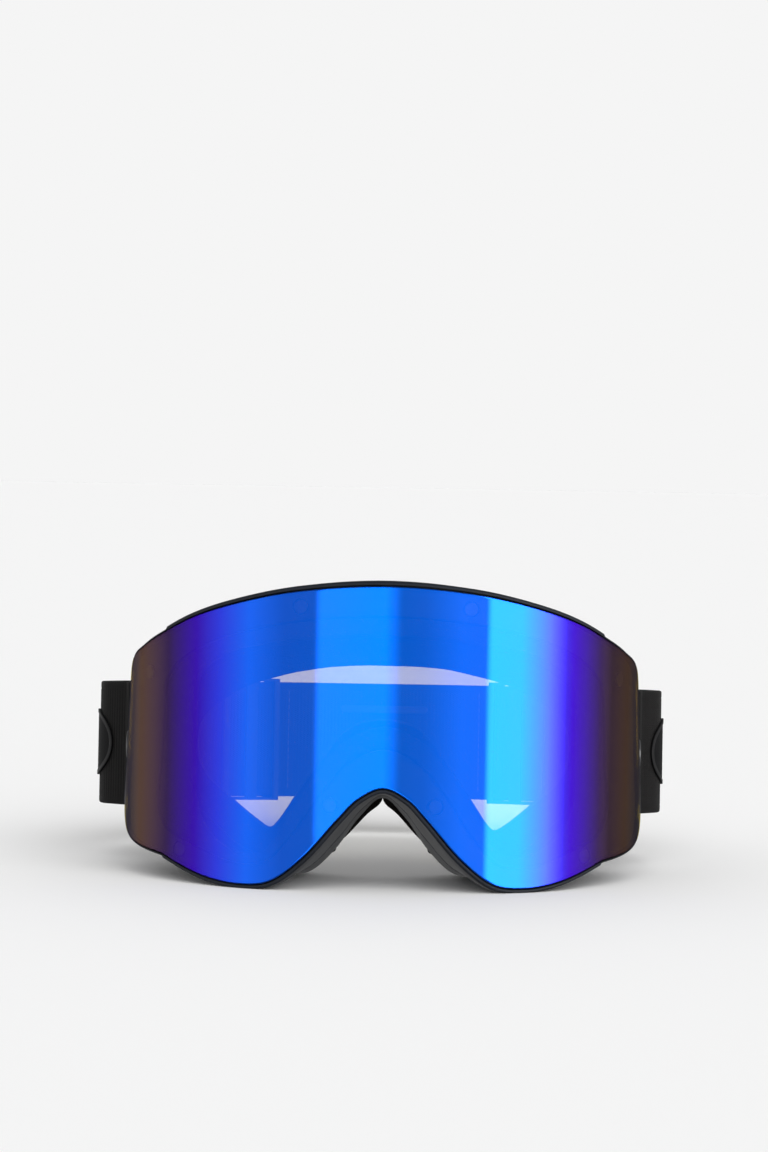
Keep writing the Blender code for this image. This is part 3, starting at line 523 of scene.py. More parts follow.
def flat_fill(loops, grid):
    """Points and triangles that fill the first loop less the others, with grid points inside."""
    points = [Vector(p) for loop in loops for p in loop]
    edges = []
    for loop in loops:
        start = len(edges)
        edges += [(start + i, start + (i + 1) % len(loop)) for i in range(len(loop))]
    low = Vector((min(p.x for p in points), min(p.y for p in points)))
    high = Vector((max(p.x for p in points), max(p.y for p in points)))
    columns = np.arange(low.x + grid[0] / 2, high.x, grid[0])
    rows = np.arange(low.y + grid[1] / 2, high.y, grid[1])
    candidates = [Vector((x, y)) for x in columns for y in rows]
    margins = [shrunk(loops[0], grid[0] / 2)] + [shrunk(hole, -grid[0] / 2) for hole in loops[1:]]
    if candidates:
        keep = inside_loops(candidates, margins)
        points += [p for p, kept in zip(candidates, keep) if kept]
    found, _, triangles = geometry.delaunay_2d_cdt(points, edges, [], 0, 1e-9)[:3]
    centres = [sum((found[i] for i in t), Vector((0, 0))) / 3 for t in triangles]
    keep = inside_loops(centres, loops)
    return found, [t for t, kept in zip(triangles, keep) if kept]


def plate_mesh(name, loops, depths, edge, grid, place, steps=4):
    """A plate between two depths with rounded edges; place(x, y, depth) bends it into shape."""
    near, far = depths
    hold = min(edge, EDGE_HOLD)

    def inset(i, amount):
        return shrunk(loops[i], amount if i == 0 else -amount)

    borders = [inset(i, edge + hold) for i in range(len(loops))]
    flat, triangles = flat_fill(borders, grid)
    vertices = [place(p.x, p.y, near) for p in flat] + [place(p.x, p.y, far) for p in flat]
    back = len(flat)
    faces = [tuple(t) for t in triangles] + [tuple(back + i for i in t) for t in triangles]
    levels = []
    for step in range(steps + 1):
        angle = math.pi / 2 * step / steps
        levels.append((edge * (1 - math.sin(angle)), edge * (1 - math.cos(angle))))
    profile = [(inwards, near + down) for inwards, down in levels]
    profile += [(inwards, far - down) for inwards, down in reversed(levels)]
    start = 0
    for i, border in enumerate(borders):
        count = len(border)
        rows = [[start + k for k in range(count)]]
        for inwards, depth in profile:
            rows.append([len(vertices) + k for k in range(count)])
            vertices += [place(p.x, p.y, depth) for p in inset(i, inwards)]
        rows.append([back + start + k for k in range(count)])
        for row, following in zip(rows, rows[1:]):
            faces += [(row[k - 1], row[k], following[k], following[k - 1]) for k in range(count)]
        start += count
    return mesh_of(name, vertices, faces)


def patch_mesh(name, rows, lifts, thicknesses):
    """A closed pad over rows of points: each point's underside is lifted off them, and its top
    stands a thickness above that, both along the surface's normal."""
    grid = np.array([[tuple(p) for p in row] for row in rows])
    across = np.gradient(grid, axis=0)
    along = np.gradient(grid, axis=1)
    normals = np.cross(along, across)
    normals /= np.linalg.norm(normals, axis=2, keepdims=True)
    low = grid + normals * np.array(lifts)[:, :, None]
    high = low + normals * np.array(thicknesses)[:, :, None]
    n_rows, n_columns = grid.shape[:2]
    vertices = list(low.reshape(-1, 3)) + list(high.reshape(-1, 3))
    top = n_rows * n_columns
    faces = []
    for r in range(n_rows - 1):
        for c in range(n_columns - 1):
            i = r * n_columns + c
            quad = (i, i + 1, i + n_columns + 1, i + n_columns)
            faces += [quad, tuple(top + k for k in quad)]
    rim = list(range(n_columns))
    rim += [r * n_columns + n_columns - 1 for r in range(1, n_rows)]
    rim += [(n_rows - 1) * n_columns + c for c in range(n_columns - 2, -1, -1)]
    rim += [r * n_columns for r in range(n_rows - 2, 0, -1)]
    for a, b in zip(rim, rim[1:] + rim[:1]):
        faces.append((a, b, top + b, top + a))
    return mesh_of(name, vertices, faces)


def turned_mesh(name, profile, steps=ROUND_STEPS):
    """A turned solid about Z from a profile of (radius, height) that starts and ends at r = 0."""
    vertices, faces, rows = [], [], []
    for radius, height in profile:
        if radius == 0:
            rows.append([len(vertices)] * steps)
            vertices.append((0, 0, height))
            continue
        rows.append([len(vertices) + i for i in range(steps)])
        vertices += [(radius * math.cos(2 * math.pi * i / steps),
                      radius * math.sin(2 * math.pi * i / steps), height) for i in range(steps)]
    for row, following in zip(rows, rows[1:]):
        for i in range(steps):
            face = (row[i - 1], row[i], following[i], following[i - 1])
            faces.append(tuple(dict.fromkeys(face)))
    return mesh_of(name, vertices, faces)


def box_mesh(size, corner=0.0, segments=3):
    """A box centred on the origin, its edges along Z rounded if a corner radius is given."""
    bm = bmesh.new()
    bmesh.ops.create_cube(bm, size=1.0)
    bmesh.ops.scale(bm, vec=size, verts=bm.verts)
    if corner:
        edges = [e for e in bm.edges if abs((e.verts[0].co - e.verts[1].co).z) > size[2] / 2]
        bmesh.ops.bevel(bm, geom=edges, offset=corner, segments=segments, profile=0.5,
                        affect="EDGES")
    mesh = bpy.data.meshes.new("box")
    bm.to_mesh(mesh)
    bm.free()
    return mesh


def applied(holder, tools=()):
    """The holder's mesh with its modifiers; the holder and its tools are removed."""
    bpy.context.view_layer.update()
    evaluated = holder.evaluated_get(bpy.context.evaluated_depsgraph_get())
    result = bpy.data.meshes.new_from_object(evaluated)
    for obj in (*tools, holder):
        bpy.data.objects.remove(obj)
    return result


def boolean(mesh, cutters, operation="DIFFERENCE"):
    """The mesh with others, given as (mesh, matrix), cut away from it or joined to it."""
    holder = in_scene("holder", mesh)
    tools = []
    for cutter, matrix in cutters:
        tool = in_scene("tool", cutter)
        tool.matrix_world = matrix
        modifier = holder.modifiers.new("cut", "BOOLEAN")
        modifier.operation = operation
        modifier.object = tool
        tools.append(tool)
    return applied(holder, tools)


def softened(mesh, width, segments=2):
    """The mesh with its sharp edges rounded."""
    holder = in_scene("holder", mesh)
    bevel = holder.modifiers.new("soft edges", "BEVEL")
    bevel.width = width
    bevel.segments = segments
    bevel.limit_method = "ANGLE"
    bevel.angle_limit = BEVEL_ANGLE
    return applied(holder)


def rod_matrix(start, end):
    """Stands a solid made about Z, from z = 0 up, on start, pointing to end."""
    return Matrix.Translation(start) @ (end - start).to_track_quat("Z", "Y").to_matrix().to_4x4()


def rod_profile(radius, length, edge):
    return ((0, 0), (radius - edge, 0), (radius, edge), (radius, length - edge),
            (radius - edge, length), (0, length))


# ================================================================ frame
def frame_rings(lines):
    """The frame's section, corner by corner, each corner as a ring round the goggles."""
    count = len(lines.lens)
    widths = [RIM_WIDTH if abs(point.x) < unrolled(RIM_STEP_X) else RIM_WIDTH_TEMPLE
              for point in lines.lens]
    rim = widened(lines.lens, widths)
    chamfer = widened(lines.lens, [width - RIM_CHAMFER for width in widths])
    seat_edge = widened(lines.lens, [LENS_CLEARANCE] * count)
    gusset = widened(lines.lens, [-GUSSET_INSET] * count)
    return {
        "seat_front_inner": on_lens_loop(lines.lens_ring(SEAT_SPAN), SEAT[0]),
        "seat_front_outer": on_lens_loop(seat_edge, SEAT[0]),
        "rim_inner": on_lens_loop(seat_edge, RIM_FRONT),
        "rim_chamfer": on_lens_loop(chamfer, RIM_FRONT),
        "rim_outer": on_lens_loop(rim, RIM_FRONT + RIM_CHAMFER),
        "wall_front": on_lens_loop(rim, SEAT[1]),
        "wall_back": on_face_loop(lines.face, -FLANGE_THICKNESS),
        "flange_outer": on_face_loop(lines.face, 0),
        "flange_back_inner": on_face_loop(lines.face_ring(FLANGE_SPAN), 0),
        "flange_front_inner": on_face_loop(lines.face_ring(FLANGE_SPAN), -FLANGE_THICKNESS),
        "wall_back_inner": on_face_loop(lines.face_ring(WALL_SPAN), -FLANGE_THICKNESS),
        "wall_front_inner": on_lens_loop(gusset, GUSSET_BACK),
        "seat_back_inner": on_lens_loop(lines.lens_ring(SEAT_SPAN), SEAT[1]),
    }


FRAME_RADII = {"seat_front_inner": 0.5, "rim_inner": 0.25, "rim_chamfer": 0.35,
               "rim_outer": 0.5, "wall_front": 1.2, "wall_back": 0.6, "flange_outer": 0.6,
               "flange_back_inner": 0.6, "flange_front_inner": 0.6, "seat_back_inner": 0.5}


def frame_section(rings):
    """The section's rings with rounded corners and a shallow line round the wall."""
    names = list(rings)
    after = names.index("wall_front") + 1
    radii = [FRAME_RADII.get(name, 0) * MM for name in names]
    front, back = rings["wall_front"], rings["wall_back"]
    centre = Vector((0, 0, PIVOT_Z))
    groove = []
    for share, deep in zip((GROOVE_PLACE[0], *GROOVE_PLACE, GROOVE_PLACE[1]), (0, 1, 1, 0)):
        row = []
        for a, b in zip(front, back):
            point = a.lerp(b, share)
            inwards = Vector((centre.x - point.x, 0, centre.z - point.z)).normalized()
            row.append(point + inwards * GROOVE_DEPTH * deep)
        groove.append(row)
    ordered = [rings[name] for name in names]
    ordered[after:after] = groove
    radii[after:after] = [GROOVE_EDGE] * len(groove)
    return rounded_rings(ordered, radii)


def nearest_station(ring, x, upper):
    candidates = [i for i, point in enumerate(ring) if (point.z > PIVOT_Z) == upper]
    return min(candidates, key=lambda i: abs(ring[i].x - x))


def vent_cutters(rings, positions, size, upper):
    cutters = []
    for x in positions:
        i = nearest_station(rings["wall_front"], x, upper)
        centre = (rings["wall_front"][i] + rings["wall_back"][i]) / 2
        place = Matrix.Translation((x, centre.y, centre.z))
        cutters.append((box_mesh(size, VENT_CORNER), place))
    return cutters


def magnet_positions(lines):
    ring = lines.lens_ring(MAGNET_SPAN)
    right = [ring[lines.knot_places[knot]] for knot in MAGNET_KNOTS]
    return right + [Vector((-place.x, place.y)) for place in right]


def magnet_ends(place, depths):
    surface = on_lens(place.x, place.y, 0)
    inwards = -lens_normal(place.x)
    return surface + inwards * depths[0], surface + inwards * depths[1]


def pocket_cutters(places):
    cutters = []
    for place in places:
        start, end = magnet_ends(place, POCKET_DEPTHS)
        radius, length = MAGNET_RADIUS + MAGNET_CLEARANCE, (end - start).length
        profile = ((0, 0), (radius, 0), (radius, length), (0, length))
        cutters.append((turned_mesh("pocket", profile, POCKET_STEPS), rod_matrix(start, end)))
    return cutters


def build_frame(rings, places, materials):
    mesh = closed_tube("frame_shell", frame_section(rings))
    cutters = vent_cutters(rings, TOP_VENT_X, TOP_VENT_SIZE, True)
    cutters += vent_cutters(rings, LOW_VENT_X, LOW_VENT_SIZE, False)
    mesh = boolean(mesh, cutters + pocket_cutters(places))
    for vertex in mesh.vertices:
        vertex.co.z = max(vertex.co.z, 0.0)
    add_piece("frame_shell", mesh, materials["frame"], "goggle_frame", "moulded_frame", ["frame"])


# ================================================================ lens unit and magnets
def lens_ring_mesh(name, lines, shares, depths, radius):
    corners = [on_lens_loop(lines.lens_ring(shares[i]), depths[j])
               for i, j in ((0, 0), (1, 0), (1, 1), (0, 1))]
    return closed_tube(name, rounded_rings(corners, [radius] * 4))


def build_lens_unit(lines, places, materials):
    outer = plate_mesh("mirror_lens", [lines.lens], OUTER_LENS, LENS_EDGE, LENS_GRID, on_lens)
    outer.materials.append(materials["mirror"])
    outer.materials.append(materials["lens_back"])
    for face in outer.polygons:
        turn = math.asin(max(-1.0, min(1.0, face.center.x / LENS_WRAP_X)))
        if face.normal.dot(lens_normal(turn * LENS_WRAP_X)) < LENS_BACK_COSINE:
            face.material_index = 1
    add_piece("mirror_lens", outer, None, "lens_unit", "mirror_lens", ["outer_lens"])
    inner = plate_mesh("clear_pane", [lines.lens_ring(GASKET_SPAN[0])], INNER_LENS, PANE_EDGE,
                       LENS_GRID, on_lens, 3)
    add_piece("clear_pane", inner, materials["pane"], "lens_unit", "inner_lens", ["inner_lens"])
    gasket = lens_ring_mesh("pane_gasket", lines, GASKET_SPAN, GASKET, GASKET_EDGE)
    add_piece("pane_gasket", gasket, materials["gasket"], "lens_unit", "lens_gasket",
              ["lens_gasket"])
    carrier = lens_ring_mesh("magnet_carrier", lines, CARRIER_SPAN, CARRIER, CARRIER_EDGE)
    carrier = boolean(carrier, pocket_cutters(places))
    add_piece("magnet_carrier", carrier, materials["carrier"], "lens_unit", "lens_carrier",
              ["lens_carrier"])


def build_magnets(places, materials):
    for i, place in enumerate(places):
        for owner, body in (("lens", "lens_unit"), ("frame", "goggle_frame")):
            start, end = magnet_ends(place, MAGNET_DEPTHS[owner])
            node = "%s_magnet_%d" % (owner, i + 1)
            profile = rod_profile(MAGNET_RADIUS, (end - start).length, MAGNET_EDGE)
            mesh = turned_mesh(node + "_disc", profile)
            mesh.transform(rod_matrix(start, end))
            add_piece(node + "_disc", mesh, materials["magnet"], body, "magnet", [node])


# ================================================================ foam
def uneven(rings, size, amount):
    """Rings with a slow random swell, so that foam isn't machine-straight."""
    return [[p + noise.noise_vector(p / size) * amount for p in ring] for ring in rings]


def foam_rings(lines, start, end, edges, radii):
    """Section rings of a foam layer; edges are its insets at the front and at the back."""
    outer = [blended(lines.foam, lines.eye, edge) for edge in edges]
    inner = [blended(lines.eye, lines.foam, edge) for edge in edges]
    corners = [on_face_loop(outer[0], start), on_face_loop(outer[1], end),
               on_face_loop(inner[1], end), on_face_loop(inner[0], start)]
    return rounded_rings(corners, radii, 5)


def build_foam(lines, materials):
    seam = PART_GAP + FIRM_FOAM
    end = PART_GAP + FOAM_BASE_THICKNESS
    layers = (
        ("foam_firm", PART_GAP, seam, (0.0, 0.0), (0.4, 0.9, 0.9, 0.4), "foam_firm",
         ["foam_base"], "face_foam"),
        ("foam_soft", seam, end, (0.0, 0.01), (0.9, 1.3, 1.3, 0.9), "foam_soft", [],
         "face_foam"),
        ("fleece_lining", end, end + PART_GAP + FLEECE_THICKNESS, (0.015, FLEECE_EDGE),
         (0.9, 2.0, 2.0, 0.9), "fleece", ["foam_fleece"], "face_fleece"),
    )
    for name, start, stop, edges, radii, material, nodes, slot in layers:
        rings = foam_rings(lines, start, stop, edges, [radius * MM for radius in radii])
        mesh = closed_tube(name, uneven(rings, *FOAM_SWELL))
        for vertex in mesh.vertices:
            vertex.co.z = max(vertex.co.z, FOAM_GROUND_GAP)
        piece = add_piece(name, mesh, materials[material], "goggle_frame", slot, nodes)


def build_nose_flaps(materials):
    for word, side in SIDES:
        corners = [Vector((side * x * MM, z * MM)) for x, z in NOSE_FLAP_POINTS]
        outline = smooth_loop(corners, [NOSE_PAD_STEPS] * len(corners))

        def place(x, z, depth):
            return Vector((x, face_y(x) + depth, z))

        mesh = plate_mesh("nose_pad_" + word, [outline],
                          (PART_GAP, PART_GAP + FOAM_BASE_THICKNESS), NOSE_PAD_EDGE,
                          PAD_GRID, place)
        piece = add_piece("nose_pad_" + word, mesh, materials["foam_soft"], "goggle_frame",
                          "face_foam", ["nose_flap_" + word])


def stations_between(ring, x_range, upper):
    """Indices of the ring's points with x in a range, on one half, in the ring's own order."""
    count = len(ring)
    inside = [(ring[i].z > PIVOT_Z) == upper and x_range[0] <= ring[i].x <= x_range[1]
              for i in range(count)]
    start = next(i for i in range(count) if inside[i] and not inside[i - 1])
    stations = []
    while inside[start % count]:
        stations.append(start % count)
        start += 1
    return stations


def edge_falloff(rows, columns, reach_rows, reach_columns):
    """For each point of a grid, 1 in the middle, falling to 0 at the rim in a quarter round."""
    values = np.ones((rows, columns))
    for r in range(rows):
        for c in range(columns):
            t = min(1.0, min(r, rows - 1 - r) / reach_rows, min(c, columns - 1 - c) / reach_columns)
            values[r, c] = math.sqrt(1 - (1 - t) ** 2)
    return values


def wall_rows(rings, faces, stations, span, count):
    """Rows of points down the wall, between shares of the way from its front to its back."""
    front, back = rings["wall_front" + faces], rings["wall_back" + faces]
    shares = [span[0] + (span[1] - span[0]) * r / (count - 1) for r in range(count)]
    return [[front[i].lerp(back[i], share) for i in stations] for share in shares]


def build_vent_foam(rings, materials):
    for word, x_range in VENT_FOAM_X.items():
        stations = stations_between(rings["wall_front_inner"], x_range, word == "top")[::-1]
        rows = wall_rows(rings, "_inner", stations, VENT_FOAM_RANGE, VENT_FOAM_ROWS)
        rounded = edge_falloff(VENT_FOAM_ROWS, len(stations), *VENT_FOAM_ROUNDING)
        edge_lift = (1 - rounded) * VENT_FOAM_EDGE_LIFT * VENT_FOAM_THICKNESS
        mesh = patch_mesh("vent_screen_" + word, rows, PART_GAP + edge_lift,
                          VENT_FOAM_THICKNESS * (0.5 + 0.5 * rounded))
        piece = add_piece("vent_screen_" + word, mesh, materials["vent_foam"], "goggle_frame",
                          "vent_foam", ["vent_foam_" + word])


# ================================================================ side arms and posts
def build_side_arm(word, side, rings, materials):
    """A pad that grows out of the wall, with a boss and a hole for the strap's post."""
    stations = [i for i, point in enumerate(rings["wall_front"])
                if point.x * side > RIM_STEP_X and ARM_HEIGHTS[0] <= point.z <= ARM_HEIGHTS[1]]
    rows = wall_rows(rings, "", stations, ARM_RANGE, ARM_ROWS)
    rounded = edge_falloff(ARM_ROWS, len(stations), *ARM_ROUNDING)
    mesh = patch_mesh("temple_arm_" + word, rows, np.full(rounded.shape, ARM_UNDERSIDE),
                      ARM_EDGE_THICKNESS + ARM_SWELL * rounded)
    inner = Vector((side * BOSS_X[0], PIVOT_Y, PIVOT_Z))
    outer = Vector((side * BOSS_X[1], PIVOT_Y, PIVOT_Z))
    boss = turned_mesh("boss", rod_profile(BOSS_RADIUS, (outer - inner).length, BOSS_EDGE))
    mesh = boolean(mesh, [(boss, rod_matrix(inner, outer))], "UNION")
    profile = rod_profile(POST_RADIUS + POST_CLEARANCE, BORE_LENGTH, BORE_EDGE)
    bore = turned_mesh("bore", profile)
    start = inner - Vector((side * BORE_LEAD, 0, 0))
    mesh = boolean(mesh, [(bore, rod_matrix(start, outer))])
    add_piece("temple_arm_" + word, mesh, materials["arm"], "goggle_frame", "side_arm",
              ["side_arm_" + word])


def build_post(word, side, materials):
    """A shouldered rivet with a domed rim and a shallow dished head."""
    inner, outer = POST_X
    head = POST_HEAD_RADIUS
    profile = [(0, inner), (POST_RADIUS - POST_EDGE, inner), (POST_RADIUS, inner + POST_EDGE),
               (POST_RADIUS, POST_HEAD_X), (head - POST_HEAD_EDGE, POST_HEAD_X),
               (head, POST_HEAD_X + POST_HEAD_EDGE)]
    profile += [(head - inwards * MM, outer - down * MM) for inwards, down in POST_DISH]
    profile.append((0, profile[-1][1]))
    mesh = turned_mesh("strap_rivet_" + word, profile)
    turn = Matrix.Rotation(side * math.pi / 2, 4, "Y")
    mesh.transform(Matrix.Translation((0, PIVOT_Y, PIVOT_Z)) @ turn)
    add_piece("strap_rivet_" + word, mesh, materials["post"], "goggle_frame", "strap_post",
              ["strap_post_" + word])


# ================================================================ strap
STRAP_PLACE = (Matrix.Translation((0, PIVOT_Y, PIVOT_Z))
               @ Matrix.Rotation(STRAP_SAG, 4, "X"))


def strap_point(x, y):
    """A point of the strap's plan, in the strap's own frame at the pivot line."""
    return Vector((x * MM, APEX_Y + y * MM - PIVOT_Y))


def fine_path(knots, step):
    """Points about a step apart on the smooth curve from the second knot to the last but one."""
    points = []
    for i in range(1, len(knots) - 2):
        count = max(2, round((knots[i + 1] - knots[i]).length / step))
        points += smooth_span(*knots[i - 1:i + 3], count)
    return points


def outer_half_path(side):
    """The outer layer's middle line on one side, from the middle of the back to the clip."""
    places = STRAP_BACK_KNOTS + STRAP_SIDE_KNOTS[side] + BAR_TURN_KNOTS[:1]
    knots = [strap_point(x, y) for x, y in places]
    knots.insert(0, strap_point(-STRAP_BACK_KNOTS[1][0], STRAP_BACK_KNOTS[1][1]))
    return fine_path(knots, WEBBING_STEP)


def turned_in_half_path(outer, side):
    """The rest of that half: round the clip's bar and back along the inside."""
    inner = [point - normal * LAYER_PITCH
             for point, normal in zip(outer, side_normals(outer, False))]
    bar_end = strap_point(*BAR_TURN_KNOTS[-1])
    inner = [point for point in inner if point.x > TAIL_END_X and point.y > bar_end.y + TAIL_START]
    inner.reverse()
    knots = [strap_point(x, y) for x, y in STRAP_SIDE_KNOTS[side][-2:] + BAR_TURN_KNOTS]
    knots += [inner[0], inner[int(TAIL_LEAD / WEBBING_STEP)]]
    return fine_path(knots, WEBBING_STEP) + inner


def path_frame(path, distance):
    """The point and the outward normal at a distance along a path."""
    for a, b in zip(path, path[1:]):
        step = (b - a).length
        if distance <= step:
            break
        distance -= step
    along = (b - a).normalized()
    return a + along * distance, Vector((-along.y, along.x))


def distance_to(path, axis, value):
    """How far along a path the first point lies whose coordinate on an axis is the value."""
    distance = 0.0
    for a, b in zip(path, path[1:]):
        if (a[axis] - value) * (b[axis] - value) < 0:
            return distance + (b - a).length * (value - a[axis]) / (b[axis] - a[axis])
        distance += (b - a).length
    raise ValueError("the path never reaches that value")


def webbing_section():
    """The webbing's section: (height, share of the thickness, how ribbed it is)."""
    half = STRAP_WIDTH / 2
    inner = half - SELVEDGE
    upper = [(0, 1.0, 1), (inner / 2, 1.0, 1), (inner - 0.3 * MM, 1.0, 1), (inner, 0.86, 0),
             (inner + 0.3 * MM, 1.0, 0.2), (half - 1.0 * MM, 1.0, 0.2), (half - 0.5 * MM, 0.95, 0),
             (half - 0.15 * MM, 0.7, 0), (half, 0.35, 0)]
    return [(-height, share, ribbed) for height, share, ribbed in upper[:0:-1]] + upper


def build_webbing(outer, materials):
    """The strap's woven band: one closed sweep with cross ribs and plain selvedges."""
    right, left = [outer[side] + turned_in_half_path(outer[side], side) for side in (1, -1)]
    line = [Vector((-point.x, point.y)) for point in reversed(left[1:])] + right
    normals = side_normals(line, False)
    section = webbing_section()
    reach = STRAP_THICKNESS / 2
    vertices, distances, heights = [], [], []
    distance = 0.0
    for i, (point, normal) in enumerate(zip(line, normals)):
        distance += (point - line[i - 1]).length if i else 0.0
        rib = 0.5 - 0.5 * math.cos(2 * math.pi * distance / RIB_PITCH)
        for direction, profile in ((1, section), (-1, section[::-1])):
            for height, share, ribbed in profile:
                away = direction * (reach * share - RIB_DEPTH * rib * ribbed)
                place = point + normal * away
                vertices.append(STRAP_PLACE @ Vector((place.x, place.y, height)))
                distances.append(distance)
                heights.append(height)
    count = 2 * len(section)
    faces = []
    for r in range(len(line) - 1):
        here = r * count
        for k in range(count):
            after = (k + 1) % count
            faces.append((here + k, here + after, here + count + after, here + count + k))
    last = (len(line) - 1) * count
    faces += [tuple(range(count)), tuple(last + k for k in range(count))]
    mesh = mesh_of("woven_strap", vertices, faces)
    for name, values in (("along", distances), ("across", heights)):
        attribute = mesh.attributes.new(name, "FLOAT", "POINT")
        attribute.data.foreach_set("value", np.array(values, np.float32))
    add_piece("woven_strap", mesh, materials["webbing"], "strap", "strap_webbing",
              ["strap_webbing"])


def build_stitches(outer, materials):
    """Two rows of thread across each tail's hem, on the layer inside the strap."""
    count = int((STRAP_WIDTH - 2 * SELVEDGE) / STITCH_PITCH)
    for word, side in SIDES:
        inner = turned_in_half_path(outer[side], side)[::-1]
        vertices, faces = [], []
        for distance in HEM_ROWS:
            point, outward = path_frame(inner, distance)
            place = point - outward * (STRAP_THICKNESS / 2 - STITCH_SINK)
            for i in range(count):
                height = (i - (count - 1) / 2) * STITCH_PITCH
                centre = Vector((side * place.x, place.y, height))
                thread = turned_mesh("thread", stitch_profile(), STITCH_STEPS)
                start = len(vertices)
                vertices += [STRAP_PLACE @ (centre + v.co) for v in thread.vertices]
                faces += [tuple(start + k for k in face.vertices) for face in thread.polygons]
                bpy.data.meshes.remove(thread)
        mesh = mesh_of("hem_stitches_" + word, vertices, faces)
        add_piece("hem_stitches_" + word, mesh, materials["thread"], "strap", "strap_webbing")


def stitch_profile():
    """A thread's loop on the surface: a capsule along Z, thin at its ends."""
    half = STITCH_LENGTH / 2
    profile = [(0, -half)]
    for degrees in (-60, -30, 0, 30, 60):
        angle = math.radians(degrees)
        profile.append((STITCH_RADIUS * math.cos(angle) ** 0.6, half * math.sin(angle)))
    return profile + [(0, half)]


def on_strap(outer, centre, side, along, height, lift):
    point, outward = path_frame(outer, centre + along)
    moved = point + outward * lift
    return STRAP_PLACE @ Vector((side * moved.x, moved.y, height))


def build_badge(word, side, outer, materials):
    """A blank oval patch: a raised rim round a plain, slightly lower field."""
    centre = distance_to(outer, 1, BADGE_CENTRE_Y - PIVOT_Y)
    near = STRAP_THICKNESS / 2 - STRAP_SINK

    def place(along, height, lift):
        return on_strap(outer, centre, side, along, height, lift)

    edge = circle(Vector((0, 0)), *BADGE_RADII, BADGE_STEPS)
    tops = [near + PART_GAP + thickness for thickness in BADGE_THICKNESS]
    rim = plate_mesh("badge_rim_" + word, [edge, shrunk(edge, BADGE_RIM)], (near, tops[1]),
                     BADGE_EDGES[1], PAD_GRID, place)
    add_piece("badge_rim_" + word, rim, materials["badge"], "strap", "strap_badge",
              ["strap_badge_" + word])
    field = plate_mesh("badge_field_" + word, [shrunk(edge, BADGE_FIELD_INSET)],
                       (near, tops[0]), BADGE_EDGES[0], PAD_GRID, place)
    add_piece("badge_field_" + word, field, materials["badge_field"], "strap", "strap_badge")


def build_grips(materials):
    """Lines of silicone printed on the inside of the strap."""
    inside = strap_point(*STRAP_BACK_KNOTS[0]).y - STRAP_THICKNESS / 2
    half_length, half_width = GRIP_LENGTH / 2, GRIP_SIZE[1] / 2
    for i, height in enumerate(GRIP_HEIGHTS):
        ends = Vector((half_length - half_width, 0))
        outline = arc(ends, (half_width,) * 2, -90, 90, GRIP_END_STEPS)
        outline += arc(-ends, (half_width,) * 2, 90, 270, GRIP_END_STEPS)

        def place(x, z, depth):
            return STRAP_PLACE @ Vector((x, inside - depth, height + z))

        mesh = plate_mesh("grip_line_%d" % (i + 1), [outline],
                          (-STRAP_SINK, PART_GAP + GRIP_SIZE[0]), GRIP_EDGE, GRIP_GRID, place)
        add_piece("grip_line_%d" % (i + 1), mesh, materials["grip"], "strap", "silicone_grip",
                  ["grip_strip_%d" % (i + 1)])


def build_clip(word, side, materials):
    """A flat clip across the pivot: an eye for the post and a slot for the strap."""
    eye = arc(Vector((0, 0)), (CLIP_EYE_RADIUS,) * 2, *CLIP_EYE_ARC)
    half, neck, rear = CLIP_HALF_HEIGHT, CLIP_NECK, CLIP_REAR
    corners = [Vector(p) for p in ((neck, -half), (rear, -half), (rear, half), (neck, half))]
    outline = eye + rounded_outline(corners, [CLIP_CORNER] * 4)
    slot_half = CLIP_SLOT_HALF_HEIGHT
    near, far = CLIP_SLOT_Y
    slot = rounded_outline([Vector(p) for p in ((near, -slot_half), (far, -slot_half),
                                                (far, slot_half), (near, slot_half))],
                           [CLIP_SLOT_CORNER] * 4)
    hole = circle(Vector((0, 0)), *(POST_RADIUS + POST_CLEARANCE,) * 2)
    mesh = plate_mesh("swing_clip_" + word, [outline, slot, hole], CLIP_X, CLIP_EDGE,
                      CLIP_GRID,
                      lambda y, z, x: STRAP_PLACE @ Vector((side * x, y, z)), 3)
    add_piece("swing_clip_" + word, mesh, materials["clip"], "strap", "strap_clip",
              ["strap_clip_" + word])


def build_slider(word, side, outer, materials):
    """A ladder lock round both layers: two bars outside, one inside, two rails."""
    point, outward = path_frame(outer, distance_to(outer, 0, SLIDER_X))
    turn = math.atan2(outward.x, outward.y) * side
    inner_wall, outer_wall = SLIDER_WALLS
    tunnel, tunnel_height = SLIDER_TUNNEL
    middle = point - outward * LAYER_PITCH / 2
    place = (STRAP_PLACE @ Matrix.Translation((side * middle.x, middle.y, 0))
             @ Matrix.Rotation(-turn, 4, "Z"))
    depth = tunnel + inner_wall + outer_wall
    shift = Matrix.Translation((0, (outer_wall - inner_wall) / 2, 0))
    side_window = SLIDER_LENGTH / 2 - SLIDER_BAR
    windows = [((SLIDER_LENGTH * 2, tunnel, tunnel_height), (0, 0, 0)),
               ((SLIDER_LENGTH - 2 * SLIDER_BAR, 2 * outer_wall, tunnel_height),
                (0, (tunnel + outer_wall) / 2, 0))]
    for end in (-1, 1):
        centre = (end * (SLIDER_BAR + side_window) / 2, -(tunnel + inner_wall) / 2, 0)
        windows.append(((side_window, 2 * inner_wall, tunnel_height), centre))
    body = box_mesh((SLIDER_LENGTH, depth, SLIDER_HEIGHT))
    body.transform(shift)
    cutters = [(box_mesh(size), Matrix.Translation(centre)) for size, centre in windows]
    mesh = softened(boolean(body, cutters), SLIDER_EDGE, 3)
    mesh.transform(place)
    add_piece("ladder_lock_" + word, mesh, materials["slider"], "slider_" + word, "slider",
              ["slider_" + word])


